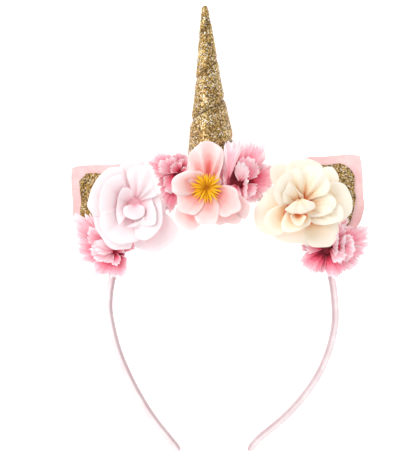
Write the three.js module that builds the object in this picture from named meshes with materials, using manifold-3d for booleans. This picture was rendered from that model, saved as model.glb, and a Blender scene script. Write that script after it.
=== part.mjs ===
// A unicorn horn headband, laid on its back as it rests on a table.
// Units are millimetres and +Z is up. The band, the flowers and the ears are drawn in the band's own
// plane, with +Y from the arms' ends to the horn and +Z towards the flowers' faces, and the whole is
// then tipped so that it rests on the arms' ends, the horn's back and the ears.

import * as THREE from 'three';
import { mergeVertices } from 'three/addons/utils/BufferGeometryUtils.js';
import Module from 'manifold-3d';

const wasm = await Module();
wasm.setup();

// Air between pieces that touch on the real thing.
const clearance = 0.3;

// Band: a springy hoop covered with satin ribbon. Its crown is half an ellipse, its arms follow a table.
const bandHalfSpan = 61.5;
const crownRise = 62;
const armDrop = 79.5;
const bandThickness = 4.1;
const bandDepth = 7;
const bandBevel = 1.2;
const tipTaper = 4.5;
const tipShare = 0.5;
// How far each arm stands out, as a share of bandHalfSpan, at a share of armDrop below the crown.
const armShape = [
  { down: 0.14, left: 0.977, right: 0.998 },
  { down: 0.3, left: 0.924, right: 0.951 },
  { down: 0.455, left: 0.844, right: 0.868 },
  { down: 0.61, left: 0.743, right: 0.738 },
  { down: 0.77, left: 0.613, right: 0.55 },
  { down: 0.92, left: 0.46, right: 0.32 },
  { down: 1, left: 0.374, right: 0.232 },
];

// Horn: a stuffed cone that stands on the crown, pinched by a wound thread.
const hornLength = 103.4;
const hornRadius = 14;
const hornFoot = crownRise - bandThickness / 2;
const hornBaseTuck = 12;
const hornTuckShare = 0.44;
const hornOffset = -4.5;
const hornLean = 2.7;
const hornPinchPitch = 22;
const hornPinchDepth = 1.4;
const hornPinchWidth = 2.6;
const hornPinchStart = 0.37;
const hornFlat = 0.5;
const hornTipLeast = 0.04;
// The horn's half width, as a share of hornRadius, at a share of hornLength from its foot.
const hornShape = [
  { up: 0, wide: 1 },
  { up: 0.25, wide: 0.9 },
  { up: 0.345, wide: 0.81 },
  { up: 0.44, wide: 0.685 },
  { up: 0.54, wide: 0.56 },
  { up: 0.69, wide: 0.42 },
  { up: 0.865, wide: 0.26 },
  { up: 1, wide: 0.115 },
];

// Ears: felt behind the crown, each with a glitter lining on its front. `at` is where the ear leaves
// the band and `points` the way its tip points, both as angles round the crown from the right.
const earLength = 54;
const earHalfWidth = 25;
const earThickness = 2;
const earOverlap = 2.4;
const earCurl = 3;
const liningThickness = 1;
const liningMargin = 4.6;
const liningNarrowest = 1.2;
const ears = {
  left: { at: 137.7, points: 137.7 },
  right: { at: 46, points: 48.4 },
};
// The ear's half width, as a share of earHalfWidth, at a share of earLength from its tip.
const earShape = [
  { along: 0, across: 0 },
  { along: 0.04, across: 0.13 },
  { along: 0.28, across: 0.64 },
  { along: 0.37, across: 0.84 },
  { along: 0.55, across: 0.99 },
  { along: 0.66, across: 1 },
  { along: 0.8, across: 0.84 },
  { along: 0.9, across: 0.56 },
  { along: 1, across: 0.4 },
];

// Petals and ruffles are stiffened cloth.
const petalThickness = 1;
const petalRoundness = 0.42;
const petalBaseShare = 0.24;
const petalRollShare = 0.07;
const petalTwist = 1.8;
const layerStep = petalThickness + clearance;

const roseRadius = 25.5;
const blossomRadius = 24;
const carnationRadius = 18;

// A rose's layers, from the back. `seat` is the radius where petals start, `rise` and `lay` their
// slope at the seat and at the rim, `cup` their bend from side to side. All angles are in degrees.
const roseLayers = [
  { name: 'outer_petals', seat: 7.4, rise: 34, lay: -8, cup: 20, ripple: 0.5 },
  { name: 'middle_petals', seat: 6, rise: 60, lay: 16, cup: 32, ripple: 0.4 },
  { name: 'inner_petals', seat: 4.6, rise: 80, lay: 54, cup: 48, ripple: 0 },
];
const budRadius = 2;
const budHeight = 13;
const budSwell = 1.9;
const budPeak = 0.7;
const budTipShare = 0.55;
const budFolds = 3;
const budFoldShare = 0.12;
const budFoldTwist = 4;

// Each petal: `turn` is its direction round the head, `reach` and `width` are shares of the
// flower's radius, `lift` is added to its slopes.
const blushPetals = {
  outer_petals: [
    { turn: 168, reach: 1, width: 0.58, lift: 0 },
    { turn: 105, reach: 1.02, width: 0.54, lift: 2 },
    { turn: 38, reach: 0.78, width: 0.5, lift: 8 },
    { turn: -37, reach: 1.13, width: 0.5, lift: -8 },
    { turn: -106, reach: 1.04, width: 0.58, lift: 0 },
  ],
  middle_petals: [
    { turn: 186, reach: 0.8, width: 0.44, lift: 0 },
    { turn: 128, reach: 0.76, width: 0.4, lift: 0 },
    { turn: 66, reach: 0.74, width: 0.4, lift: 3 },
    { turn: 4, reach: 0.66, width: 0.4, lift: 6 },
    { turn: -56, reach: 0.82, width: 0.42, lift: 0 },
    { turn: -116, reach: 0.8, width: 0.42, lift: 0 },
  ],
  inner_petals: [
    { turn: 152, reach: 0.41, width: 0.32, lift: 0 },
    { turn: 62, reach: 0.43, width: 0.32, lift: 0 },
    { turn: -28, reach: 0.41, width: 0.32, lift: 0 },
    { turn: -118, reach: 0.43, width: 0.32, lift: 0 },
  ],
};
const creamPetals = {
  outer_petals: [
    { turn: 4, reach: 1.04, width: 0.54, lift: 0 },
    { turn: 56, reach: 0.98, width: 0.48, lift: 0 },
    { turn: 110, reach: 1, width: 0.52, lift: 0 },
    { turn: 168, reach: 1.04, width: 0.54, lift: -2 },
    { turn: -138, reach: 1.04, width: 0.54, lift: 0 },
    { turn: -72, reach: 1.02, width: 0.56, lift: 0 },
  ],
  middle_petals: [
    { turn: -12, reach: 0.84, width: 0.42, lift: 0 },
    { turn: 46, reach: 0.74, width: 0.4, lift: 0 },
    { turn: 104, reach: 0.76, width: 0.4, lift: 0 },
    { turn: 156, reach: 0.78, width: 0.4, lift: 0 },
    { turn: 210, reach: 0.86, width: 0.42, lift: 0 },
    { turn: -86, reach: 0.74, width: 0.44, lift: 0 },
  ],
  inner_petals: [
    { turn: 26, reach: 0.41, width: 0.32, lift: 0 },
    { turn: 116, reach: 0.43, width: 0.32, lift: 0 },
    { turn: 206, reach: 0.41, width: 0.32, lift: 0 },
    { turn: -66, reach: 0.44, width: 0.32, lift: 0 },
  ],
};

const blossomLayers = [
  { name: 'back_petals', seat: 4.8, rise: 20, lay: 2, cup: 12, ripple: 0.5 },
  { name: 'front_petals', seat: 3.6, rise: 38, lay: 12, cup: 22, ripple: 0.5 },
];
const blossomPetals = {
  back_petals: [
    { turn: 128, reach: 0.9, width: 0.46, lift: 0 },
    { turn: 190, reach: 0.86, width: 0.46, lift: 0 },
    { turn: -112, reach: 1.06, width: 0.46, lift: 0 },
    { turn: -65, reach: 1, width: 0.46, lift: 0 },
    { turn: -20, reach: 1.04, width: 0.46, lift: 0 },
  ],
  front_petals: [
    { turn: 94, reach: 1.02, width: 0.44, lift: 0 },
    { turn: 164, reach: 0.92, width: 0.38, lift: 4 },
    { turn: 221, reach: 0.98, width: 0.42, lift: 0 },
    { turn: -90, reach: 0.84, width: 0.38, lift: 0 },
    { turn: -34, reach: 0.94, width: 0.44, lift: 0 },
    { turn: 50, reach: 0.8, width: 0.24, lift: 4 },
  ],
};
const stamenCount = 13;
const stamenReach = 10;
const stamenThickness = 1;
const stamenTipThickness = 0.5;
const stamenSeat = 2.2;
const stamenRises = [38, 54];

// A carnation's ruffles. `size` is a share of the flower's reach, `wave` the pleats' height as a
// share of the same, `pleats` their number round the head.
const carnationLayers = [
  { name: 'outer_ruffle', seat: 4.6, size: 1, rise: 24, lay: 2, wave: 0.08, pleats: 9 },
  { name: 'middle_ruffle', seat: 3.2, size: 0.8, rise: 36, lay: 14, wave: 0.07, pleats: 7 },
  { name: 'inner_ruffle', seat: 1.8, size: 0.48, rise: 44, lay: 28, wave: 0.06, pleats: 5 },
];
const pleatSteps = 3;
const ruffleRings = 2;
const ruffleJag = 0.07;
const lobeSharpness = 3;

// Flowers round the crown. `at` is the head's direction from the band's middle, `out` its distance
// beyond the band's centre line, `root` where its calyx leaves the band, `stem` its height over the
// band's front, `nod` how far it leans outwards, `size` a share of its kind's radius. `far` is the
// direction in which a carnation reaches furthest, `extra` by what share it does.
const flowers = [
  { name: 'blush_rose', kind: 'rose', at: 131.7, out: 11.2, root: 131.7, stem: 8.2, nod: 0,
    petals: blushPetals },
  { name: 'cream_rose', kind: 'rose', at: 51.1, out: 8.3, root: 51.1, stem: 8.2, nod: 0,
    petals: creamPetals },
  { name: 'blossom', kind: 'blossom', at: 97.4, out: 2.5, root: 96.4, stem: 13.2, nod: 2,
    petals: blossomPetals },
  { name: 'carnation_upper_left', kind: 'carnation', at: 107.6, out: 13.8, root: 113, stem: 1.6, nod: 0,
    size: 0.6, far: 212, extra: 1.2 },
  { name: 'carnation_upper_right', kind: 'carnation', at: 82.6, out: 4.8, root: 77, stem: 1.8, nod: 0,
    size: 0.75, far: 55, extra: 0.95 },
  { name: 'carnation_lower_left', kind: 'carnation', at: 153.7, out: 3.6, root: 153.7, stem: 1.4, nod: 8,
    size: 0.72, far: 138, extra: 1.2 },
  { name: 'carnation_lower_right', kind: 'carnation', at: 28.4, out: 3.6, root: 28.4, stem: 1.4, nod: 8,
    size: 0.92, far: 25, extra: 0.57 },
];
const calyxHeadRadius = { rose: 6.6, blossom: 2, carnation: 3.6 };
const calyxFootRadius = { rose: 3.4, blossom: 1.9, carnation: 2 };

// How finely curved things are cut.
const bandSteps = 54;
const crownStep = 18;
const slopeStep = 0.02;
const hornRings = 26;
const hornSides = 14;
const petalAcross = 4;
const petalAlong = 3;
const earAcross = 4;
const earAlong = 9;
const calyxSides = 8;
const calyxRings = 3;
const discSides = 10;
const budSides = 8;
const budRings = 5;

const radians = THREE.MathUtils.degToRad;
const finish = (colour, roughness, metalness = 0) =>
  new THREE.MeshStandardMaterial({ color: colour, roughness, metalness });
const materials = {
  satin: finish(0xf3d4d6, 0.45),
  glitter: finish(0xb8923f, 0.4, 0.6),
  felt: finish(0xf8cfd3, 0.95),
  blush: finish(0xfae6e9, 0.85),
  cream: finish(0xf8ecd2, 0.85),
  peach: finish(0xf9cfd0, 0.85),
  pink: finish(0xf3a2b7, 0.85),
  stamen: finish(0xf2b01e, 0.7),
  calyx: finish(0xd9c8bc, 0.7),
};

// The value at `x` of a table's column, along straight lines between its rows.
function readTable(table, x, key, column) {
  const next = Math.max(1, table.findIndex((row) => row[key] >= x));
  const [low, high] = [table[next - 1], table[next]];
  const share = (x - low[key]) / (high[key] - low[key]);
  return THREE.MathUtils.lerp(low[column], high[column], share);
}

// A closed mesh from rings of points, each ring joined to the next and the two ends capped.
function ringSolid(rings) {
  const sides = rings[0].length;
  const points = rings.flat();
  const faces = [];
  for (let ring = 0; ring + 1 < rings.length; ring += 1) {
    for (let side = 0; side < sides; side += 1) {
      const a = ring * sides + side;
      const b = ring * sides + ((side + 1) % sides);
      faces.push(a, b, b + sides, a, b + sides, a + sides);
    }
  }
  for (const end of [0, rings.length - 1]) {
    const centre = new THREE.Vector3();
    rings[end].forEach((point) => centre.addScaledVector(point, 1 / sides));
    points.push(centre);
    for (let side = 0; side < sides; side += 1) {
      const a = end * sides + side;
      const b = end * sides + ((side + 1) % sides);
      faces.push(...(end === 0 ? [points.length - 1, b, a] : [points.length - 1, a, b]));
    }
  }
  return solidFrom(points, faces);
}

// A closed sheet of even thickness about the surface `point(u, v)`, with u and v from 0 to 1.
function sheetSolid(point, across, along, thickness) {
  const step = slopeStep;
  const row = across + 1;
  const points = [[], []];
  for (let i = 0; i <= along; i += 1) {
    for (let j = 0; j <= across; j += 1) {
      const [u, v] = [j / across, i / along];
      const [u0, v0] = [Math.min(u, 1 - step), Math.min(v, 1 - step)];
      const alongU = point(u0 + step, v).sub(point(u0, v));
      const alongV = point(u, v0 + step).sub(point(u, v0));
      const normal = alongU.cross(alongV).normalize();
      points[0].push(point(u, v).addScaledVector(normal, thickness / 2));
      points[1].push(point(u, v).addScaledVector(normal, -thickness / 2));
    }
  }
  const back = points[0].length;
  const faces = [];
  for (let i = 0; i < along; i += 1) {
    for (let j = 0; j < across; j += 1) {
      const [a, b, c, d] = [i * row + j, i * row + j + 1, (i + 1) * row + j + 1, (i + 1) * row + j];
      faces.push(a, b, c, a, c, d, back + a, back + c, back + b, back + a, back + d, back + c);
    }
  }
  const edge = [];
  for (let j = 0; j < across; j += 1) edge.push(j);
  for (let i = 0; i < along; i += 1) edge.push(i * row + across);
  for (let j = across; j > 0; j -= 1) edge.push(along * row + j);
  for (let i = along; i > 0; i -= 1) edge.push(i * row);
  edge.forEach((a, k) => {
    const b = edge[(k + 1) % edge.length];
    faces.push(a, back + a, back + b, a, back + b, b);
  });
  return solidFrom(points.flat(), faces);
}

// A solid for joining and cutting, from points and triangles, turned the right way out.
function solidFrom(points, faces) {
  let volume = 0;
  for (let i = 0; i < faces.length; i += 3) {
    const [a, b, c] = [points[faces[i]], points[faces[i + 1]], points[faces[i + 2]]];
    volume += a.dot(new THREE.Vector3().crossVectors(b, c));
  }
  const turned = volume < 0 ? faces.map((_, i) => faces[i - (i % 3) + [0, 2, 1][i % 3]]) : faces;
  const geometry = new THREE.BufferGeometry();
  geometry.setAttribute('position', new THREE.Float32BufferAttribute(points.flatMap((p) => p.toArray()), 3));
  geometry.setIndex(turned);
  return solidOf(geometry);
}

// A solid for joining and cutting, from a closed three.js geometry.
function solidOf(geometry) {
  const bare = geometry.clone();
  bare.deleteAttribute('normal');
  bare.deleteAttribute('uv');
  const merged = mergeVertices(bare, 1e-4);
  return new wasm.Manifold(
    new wasm.Mesh({
      numProp: 3,
      vertProperties: new Float32Array(merged.attributes.position.array),
      triVerts: new Uint32Array(merged.index.array),
    }),
  );
}

// The largest shell of a solid, without the slivers or the tiny hollows that joins and cuts may leave.
function largestBody(solid) {
  return solid.decompose().reduce((best, body) => (body.volume() > best.volume() ? body : best));
}

// A three.js geometry from a solid.
function geometryOf(solid) {
  const { vertProperties, triVerts } = solid.getMesh();
  const geometry = new THREE.BufferGeometry();
  geometry.setAttribute('position', new THREE.BufferAttribute(new Float32Array(vertProperties), 3));
  geometry.setIndex(new THREE.BufferAttribute(new Uint32Array(triVerts), 1));
  return geometry;
}

// A named mesh in a group, from a solid.
function addPiece(group, name, solid, material) {
  const geometry = geometryOf(solid);
  geometry.computeVertexNormals();
  const mesh = new THREE.Mesh(geometry, material);
  mesh.name = name;
  group.add(mesh);
}

// The band's centre line from the left arm's end over the crown to the right arm's end.
function bandCentreLine() {
  const arm = (row, side) =>
    new THREE.Vector3((side === 'left' ? -1 : 1) * row[side] * bandHalfSpan, -row.down * armDrop, 0);
  const crown = [];
  for (let angle = 180; angle >= 0; angle -= crownStep) crown.push(crownPoint(angle));
  const left = armShape.map((row) => arm(row, 'left')).reverse();
  const right = armShape.map((row) => arm(row, 'right'));
  return new THREE.CatmullRomCurve3([...left, ...crown, ...right]);
}

// The point of the crown's centre line at an angle from the right, and the way out from it.
function crownPoint(angle) {
  const a = radians(angle);
  return new THREE.Vector3(bandHalfSpan * Math.cos(a), crownRise * Math.sin(a), 0);
}
function crownOutward(angle) {
  const a = radians(angle);
  return new THREE.Vector3(Math.cos(a) / bandHalfSpan, Math.sin(a) / crownRise, 0).normalize();
}

// The height of the table's top under the band's plane, at a distance along Y.
const hornBackAt = hornFoot + hornBaseTuck;
const restSlope = (hornHalfWidth(hornBaseTuck) - hornFlat - bandDepth / 2) / (hornBackAt + armDrop);
const tableHeight = (y) => -bandDepth / 2 - restSlope * (y + armDrop);

// The band's section is an octagon swept along the centre line, narrowed at both ends.
function bandSolid() {
  const line = bandCentreLine();
  const length = line.getLength();
  const rings = [];
  for (let i = 0; i <= bandSteps; i += 1) {
    const t = i / bandSteps;
    const centre = line.getPointAt(t);
    const tangent = line.getTangentAt(t);
    const outward = new THREE.Vector3(-tangent.y, tangent.x, 0);
    const fromEnd = Math.min(t, 1 - t) * length;
    const fromTip = Math.min(1, fromEnd / tipTaper);
    const taper = THREE.MathUtils.lerp(tipShare, 1, Math.sin((Math.PI / 2) * fromTip));
    const [high, deep] = [(bandThickness / 2) * taper, bandDepth / 2];
    const bevel = bandBevel * taper;
    const corners = [
      [high, deep - bevel], [high - bevel, deep], [bevel - high, deep], [-high, deep - bevel],
      [-high, bevel - deep], [bevel - high, -deep], [high - bevel, -deep], [high, bevel - deep],
    ];
    rings.push(corners.map(([out, up]) => centre.clone().addScaledVector(outward, out).setZ(up)));
  }
  return ringSolid(rings);
}

// The horn's half width by its table, and its radius with the tucked base, round tip and wound pinch.
function hornHalfWidth(height) {
  return readTable(hornShape, height / hornLength, 'up', 'wide') * hornRadius;
}
function hornRadiusAt(height, angle) {
  const halfWidth = hornHalfWidth(height);
  const fromFoot = Math.min(1, height / hornBaseTuck);
  const tuck = THREE.MathUtils.lerp(hornTuckShare, 1, Math.sin((Math.PI / 2) * fromFoot));
  const fromTip = (hornLength - height) / hornHalfWidth(hornLength);
  const tip = Math.sqrt(Math.max(hornTipLeast, 1 - Math.max(0, 1 - fromTip) ** 2));
  const turns = height / hornPinchPitch + angle / (2 * Math.PI) - hornPinchStart;
  const fromPinch = (turns - Math.round(turns)) * hornPinchPitch;
  const pinch = hornPinchDepth * Math.exp(-((fromPinch / hornPinchWidth) ** 2)) * (halfWidth / hornRadius);
  return (halfWidth * tuck - pinch) * tip;
}

// The horn stands on the crown, hollowed at its foot to the band's curve and flattened where it
// lies on the table.
function hornSolid(grow = 0) {
  const lean = radians(hornLean);
  const tipRadius = hornHalfWidth(hornLength);
  const rings = [];
  for (let i = 0; i <= hornRings; i += 1) {
    const height = i < hornRings ? (hornLength - tipRadius) * (i / (hornRings - 1)) : hornLength;
    rings.push(
      Array.from({ length: hornSides }, (_, side) => {
        const angle = (side / hornSides) * 2 * Math.PI;
        const radius = hornRadiusAt(height, angle) + grow;
        const across = radius * Math.cos(angle);
        const x = hornOffset + across * Math.cos(lean) - height * Math.sin(lean);
        const y = hornFoot + height * Math.cos(lean) + across * Math.sin(lean);
        return new THREE.Vector3(x, y, radius * Math.sin(angle));
      }),
    );
  }
  const room = bandThickness / 2 + clearance;
  const crown = new THREE.CylinderGeometry(1, 1, hornLength, 4 * bandSteps).rotateX(Math.PI / 2);
  crown.scale(bandHalfSpan + room, crownRise + room, 1);
  const table = new THREE.BoxGeometry(hornLength, hornLength * 2, hornLength);
  const middle = crownRise + hornLength / 2;
  const thickness = hornLength * Math.hypot(1, restSlope);
  table.rotateX(-Math.atan(restSlope)).translate(0, middle, tableHeight(middle) - thickness / 2);
  return largestBody(ringSolid(rings).subtract(solidOf(crown)).subtract(solidOf(table)));
}

// Half the ear's width at a share of its length, moved in square to its edge.
function earHalfWidthAt(along, inset) {
  const halfWidth = (share) => readTable(earShape, share, 'along', 'across') * earHalfWidth;
  const step = earThickness / earLength;
  const [before, after] = [Math.max(0, along - step), Math.min(1, along + step)];
  const steepness = (halfWidth(after) - halfWidth(before)) / ((after - before) * earLength);
  return Math.max(liningNarrowest / 2, halfWidth(along) - inset * Math.hypot(1, steepness));
}

// A point of an ear's middle surface, from its tip (v = 0) to its foot behind the crown.
function earPoint(side, u, v, inset, lift) {
  const top = (inset * Math.SQRT2) / earLength;
  const bottom = inset > 0 ? 1 - (earOverlap + bandThickness + clearance * 2) / earLength : 1;
  const along = THREE.MathUtils.lerp(top, bottom, v);
  const across = (2 * u - 1) * earHalfWidthAt(along, inset);
  const { at, points } = ears[side];
  const outward = new THREE.Vector3(Math.cos(radians(points)), Math.sin(radians(points)), 0);
  const sideways = new THREE.Vector3(-outward.y, outward.x, 0);
  const fromBand = earLength * (1 - along) - earOverlap - bandThickness / 2;
  const point = crownPoint(at).addScaledVector(outward, fromBand).addScaledVector(sideways, across);
  const footHeight = -bandDepth / 2 - clearance - earThickness / 2;
  const tip = crownPoint(at).addScaledVector(outward, earLength - earOverlap - bandThickness / 2);
  const tipHeight = tableHeight(tip.y) + earThickness / 2 + clearance / 10;
  const share = Math.max(0, fromBand - bandThickness / 2) / (earLength - earOverlap - bandThickness);
  const curl = earCurl * (across / earHalfWidth) ** 2 * share;
  return point.setZ(THREE.MathUtils.lerp(footHeight, tipHeight, share) + curl + lift);
}

function earSolid(side) {
  return sheetSolid((u, v) => earPoint(side, u, v, 0, 0), earAcross, earAlong, earThickness);
}

function liningSolid(side) {
  const lift = earThickness / 2 + clearance + liningThickness / 2;
  return sheetSolid((u, v) => earPoint(side, u, v, liningMargin, lift), earAcross, earAlong, liningThickness);
}

// A line that leaves the seat at one slope and reaches the rim at another, as an arc: its distance
// from the head's axis, its height and its slope at a share of its length.
function riseLine(seat, reach, rise, lay) {
  const [from, to] = [radians(rise), radians(lay)];
  const bend = to - from;
  const length = ((reach - seat) * bend) / (Math.sin(to) - Math.sin(from));
  return (share) => {
    const slope = from + bend * share;
    return {
      out: seat + (length / bend) * (Math.sin(slope) - Math.sin(from)),
      up: (length / bend) * (Math.cos(from) - Math.cos(slope)),
      slope,
    };
  };
}

// A petal: cupped from side to side, rounded at the rim and rolled back there.
function petalSolid(layer, radius, row, height, thickness = petalThickness) {
  const reach = row.reach * radius;
  const line = riseLine(layer.seat - petalThickness, reach, layer.rise + row.lift, layer.lay + row.lift);
  const halfWidth = row.width * radius;
  const cup = radians(layer.cup);
  const turn = radians(row.turn);
  const point = (u, v) => {
    const side = (u - 0.5) * Math.PI;
    const share = v * (1 - petalRoundness * (1 - Math.cos(side)));
    const { out, up, slope } = line(share);
    const wide = halfWidth * (petalBaseShare + (1 - petalBaseShare) * Math.sin((v * Math.PI) / 2));
    const bend = Math.sin(side) * cup;
    const across = (wide * Math.sin(bend)) / cup;
    const roll = petalRollShare * radius * v ** 4;
    const ripple = layer.ripple * v ** 2 * Math.sin(2 * side + turn * 3);
    const twist = petalTwist * Math.sin(side) * Math.sqrt(v);
    const inward = (wide * (1 - Math.cos(bend))) / cup - roll + ripple + twist;
    const distance = out - inward * Math.sin(slope);
    return new THREE.Vector3(
      distance * Math.cos(turn) - across * Math.sin(turn),
      distance * Math.sin(turn) + across * Math.cos(turn),
      height + up + inward * Math.cos(slope),
    );
  };
  return sheetSolid(point, petalAcross, petalAlong, thickness);
}

// The height of a layer's middle over the calyx, counted from the back.
const layerHeight = (i) => clearance + petalThickness / 2 + i * layerStep;

// The disc at the middle of a layer, to which its petals are joined.
function layerDisc(radius, height) {
  const disc = new THREE.CylinderGeometry(radius, radius, petalThickness, discSides);
  return solidOf(disc.rotateX(Math.PI / 2).translate(0, 0, height));
}

// A layer of petals joined to its disc.
function petalLayer(layer, radius, rows, height) {
  const disc = layerDisc(layer.seat, height);
  return largestBody(rows.reduce((solid, row) => solid.add(petalSolid(layer, radius, row, height)), disc));
}

// Rose: layers of petals round a bud.
function addRose(head, flower) {
  const material = flower.name === 'blush_rose' ? materials.blush : materials.cream;
  roseLayers.forEach((layer, i) => {
    const solid = petalLayer(layer, roseRadius, flower.petals[layer.name], layerHeight(i));
    addPiece(head, `${flower.name}_${layer.name}`, solid, material);
  });
  const foot = layerHeight(roseLayers.length) - petalThickness / 2;
  addPiece(head, `${flower.name}_bud`, budSolid(foot), material);
}

// A rose's bud: a closed swelling cone with a spiral fold.
function budSolid(foot) {
  const rings = [];
  for (let i = 0; i <= budRings; i += 1) {
    const share = i / budRings;
    rings.push(
      Array.from({ length: budSides }, (_, side) => {
        const angle = (side / budSides) * 2 * Math.PI;
        const fold = 1 + budFoldShare * Math.cos(budFolds * angle + budFoldTwist * share);
        const round = budRadius + budSwell * Math.sin(share * Math.PI * budPeak);
        const radius = round * fold * (share < 1 ? 1 : budTipShare);
        const height = foot + share * budHeight;
        return new THREE.Vector3(radius * Math.cos(angle), radius * Math.sin(angle), height);
      }),
    );
  }
  return ringSolid(rings);
}

// Blossom: two open layers of petals and a spiky star of stamens.
function addBlossom(head, flower) {
  blossomLayers.forEach((layer, i) => {
    const solid = petalLayer(layer, blossomRadius, flower.petals[layer.name], layerHeight(i));
    addPiece(head, `${flower.name}_${layer.name}`, solid, materials.peach);
  });
  addPiece(head, `${flower.name}_stamens`, stamenSolid(layerHeight(blossomLayers.length)), materials.stamen);
}

// Stamens: tapered spikes that leave a small disc, one higher and one lower in turn.
function stamenSolid(height) {
  let solid = layerDisc(stamenSeat, height);
  for (let i = 0; i < stamenCount; i += 1) {
    const spike = new THREE.CylinderGeometry(stamenTipThickness / 2, stamenThickness / 2, stamenReach, 4);
    const matrix = new THREE.Matrix4()
      .makeRotationZ((i / stamenCount) * 2 * Math.PI)
      .multiply(new THREE.Matrix4().makeRotationY(-radians(stamenRises[i % 2])))
      .multiply(new THREE.Matrix4().makeRotationZ(-Math.PI / 2))
      .multiply(new THREE.Matrix4().makeTranslation(0, stamenReach / 2, 0));
    solid = solid.add(solidOf(spike.applyMatrix4(matrix).translate(0, 0, height)));
  }
  return largestBody(solid);
}

// A ruffle: a pleated cup with a jagged rim, as a closed sheet round the head's axis.
function ruffleSolid(layer, flower, height) {
  const sides = layer.pleats * pleatSteps;
  const surface = (side, share, offset) => {
    const angle = (side / sides) * 2 * Math.PI;
    const nearness = (1 + Math.cos(angle - radians(flower.far))) / 2;
    const lobe = 1 + flower.extra * layer.size ** 2 * nearness ** lobeSharpness;
    const jag = 1 + ruffleJag * ((side % 2) - 1);
    const reach = carnationRadius * flower.size * layer.size * lobe * jag;
    const { out, up, slope } = riseLine(layer.seat, reach, layer.rise, layer.lay)(share);
    const pleat = layer.wave * reach * share * Math.cos(layer.pleats * angle + layer.seat);
    const lift = pleat + offset;
    const distance = out - lift * Math.sin(slope);
    return new THREE.Vector3(
      distance * Math.cos(angle),
      distance * Math.sin(angle),
      height + up + lift * Math.cos(slope),
    );
  };
  const ring = (share, offset) => Array.from({ length: sides }, (_, side) => surface(side, share, offset));
  const shares = Array.from({ length: ruffleRings + 1 }, (_, i) => i / ruffleRings);
  return ringSolid([
    ...shares.map((share) => ring(share, -petalThickness / 2)),
    ...shares.toReversed().map((share) => ring(share, petalThickness / 2)),
  ]);
}

// A carnation's ruffles, cut clear of the horn where they meet it.
function addCarnation(head, flower, horn) {
  carnationLayers.forEach((layer, i) => {
    const ruffle = ruffleSolid(layer, flower, layerHeight(i)).subtract(horn);
    addPiece(head, `${flower.name}_${layer.name}`, largestBody(ruffle), materials.pink);
  });
}

// The calyx reaches from the band's front to the back of the flower's head, bending towards it.
function calyxSolid(foot, top, axis, kind) {
  const rings = [];
  for (let i = 0; i <= calyxRings; i += 1) {
    const share = i / calyxRings;
    const radius = THREE.MathUtils.lerp(calyxFootRadius[kind], calyxHeadRadius[kind], share);
    const centre = foot.clone().lerp(top, share ** 2).setZ(THREE.MathUtils.lerp(foot.z, top.z, share));
    const upright = new THREE.Vector3(0, 0, 1);
    const tilted = upright.clone().lerp(axis, share).normalize();
    const turn = new THREE.Quaternion().setFromUnitVectors(upright, tilted);
    rings.push(
      Array.from({ length: calyxSides }, (_, side) => {
        const angle = (side / calyxSides) * 2 * Math.PI;
        const spoke = new THREE.Vector3(radius * Math.cos(angle), radius * Math.sin(angle), 0);
        return spoke.applyQuaternion(turn).add(centre);
      }),
    );
  }
  return ringSolid(rings);
}

// A flower: its calyx on the band's front and its head at the calyx's end.
function addFlower(group, flower, hornRoom) {
  const front = bandDepth / 2 + clearance;
  const outward = crownOutward(flower.at);
  const foot = crownPoint(flower.root).setZ(front);
  const top = crownPoint(flower.at).addScaledVector(outward, flower.out).setZ(front + flower.stem);
  const nod = radians(flower.nod);
  const axis = outward.clone().multiplyScalar(Math.sin(nod)).setZ(Math.cos(nod));
  addPiece(group, `${flower.name}_calyx`, calyxSolid(foot, top, axis, flower.kind), materials.calyx);
  const head = new THREE.Group();
  head.position.copy(top);
  head.quaternion.setFromUnitVectors(new THREE.Vector3(0, 0, 1), axis);
  group.add(head);
  head.updateMatrix();
  const horn = solidOf(hornRoom.clone().applyMatrix4(head.matrix.clone().invert()));
  const makers = { rose: addRose, blossom: addBlossom, carnation: addCarnation };
  makers[flower.kind](head, flower, horn);
}

// The whole headband, tipped to rest on the table with its middle over the origin.
function headband() {
  const tipped = new THREE.Group();
  addPiece(tipped, 'band', bandSolid(), materials.satin);
  addPiece(tipped, 'horn', hornSolid(), materials.glitter);
  for (const side of ['left', 'right']) {
    addPiece(tipped, `ear_${side}`, earSolid(side), materials.felt);
    addPiece(tipped, `ear_lining_${side}`, liningSolid(side), materials.glitter);
  }
  const hornRoom = geometryOf(hornSolid(clearance));
  flowers.forEach((flower) => addFlower(tipped, flower, hornRoom));
  tipped.rotation.x = Math.atan(restSlope);
  const placed = new THREE.Group();
  placed.add(tipped);
  placed.updateMatrixWorld(true);
  const box = new THREE.Box3().setFromObject(placed, true);
  const middle = box.getCenter(new THREE.Vector3());
  tipped.position.set(-middle.x, -middle.y, -box.min.z);
  placed.updateMatrixWorld(true);
  return placed;
}

export default headband();
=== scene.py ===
"""Looks of a unicorn horn headband: ribbon, stuffed horn, felt ears and cloth flowers.

Every surface is a grid of points worked out at once with numpy, in millimetres and in the band's own
plane: +X to the right, +Y from the arms' ends to the horn, +Z towards the flowers' faces. The grids
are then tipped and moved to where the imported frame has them, and scaled to metres.
"""

import logging
import math
from collections.abc import Callable, Iterable, Sequence
from dataclasses import dataclass, field
from enum import Enum

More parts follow.
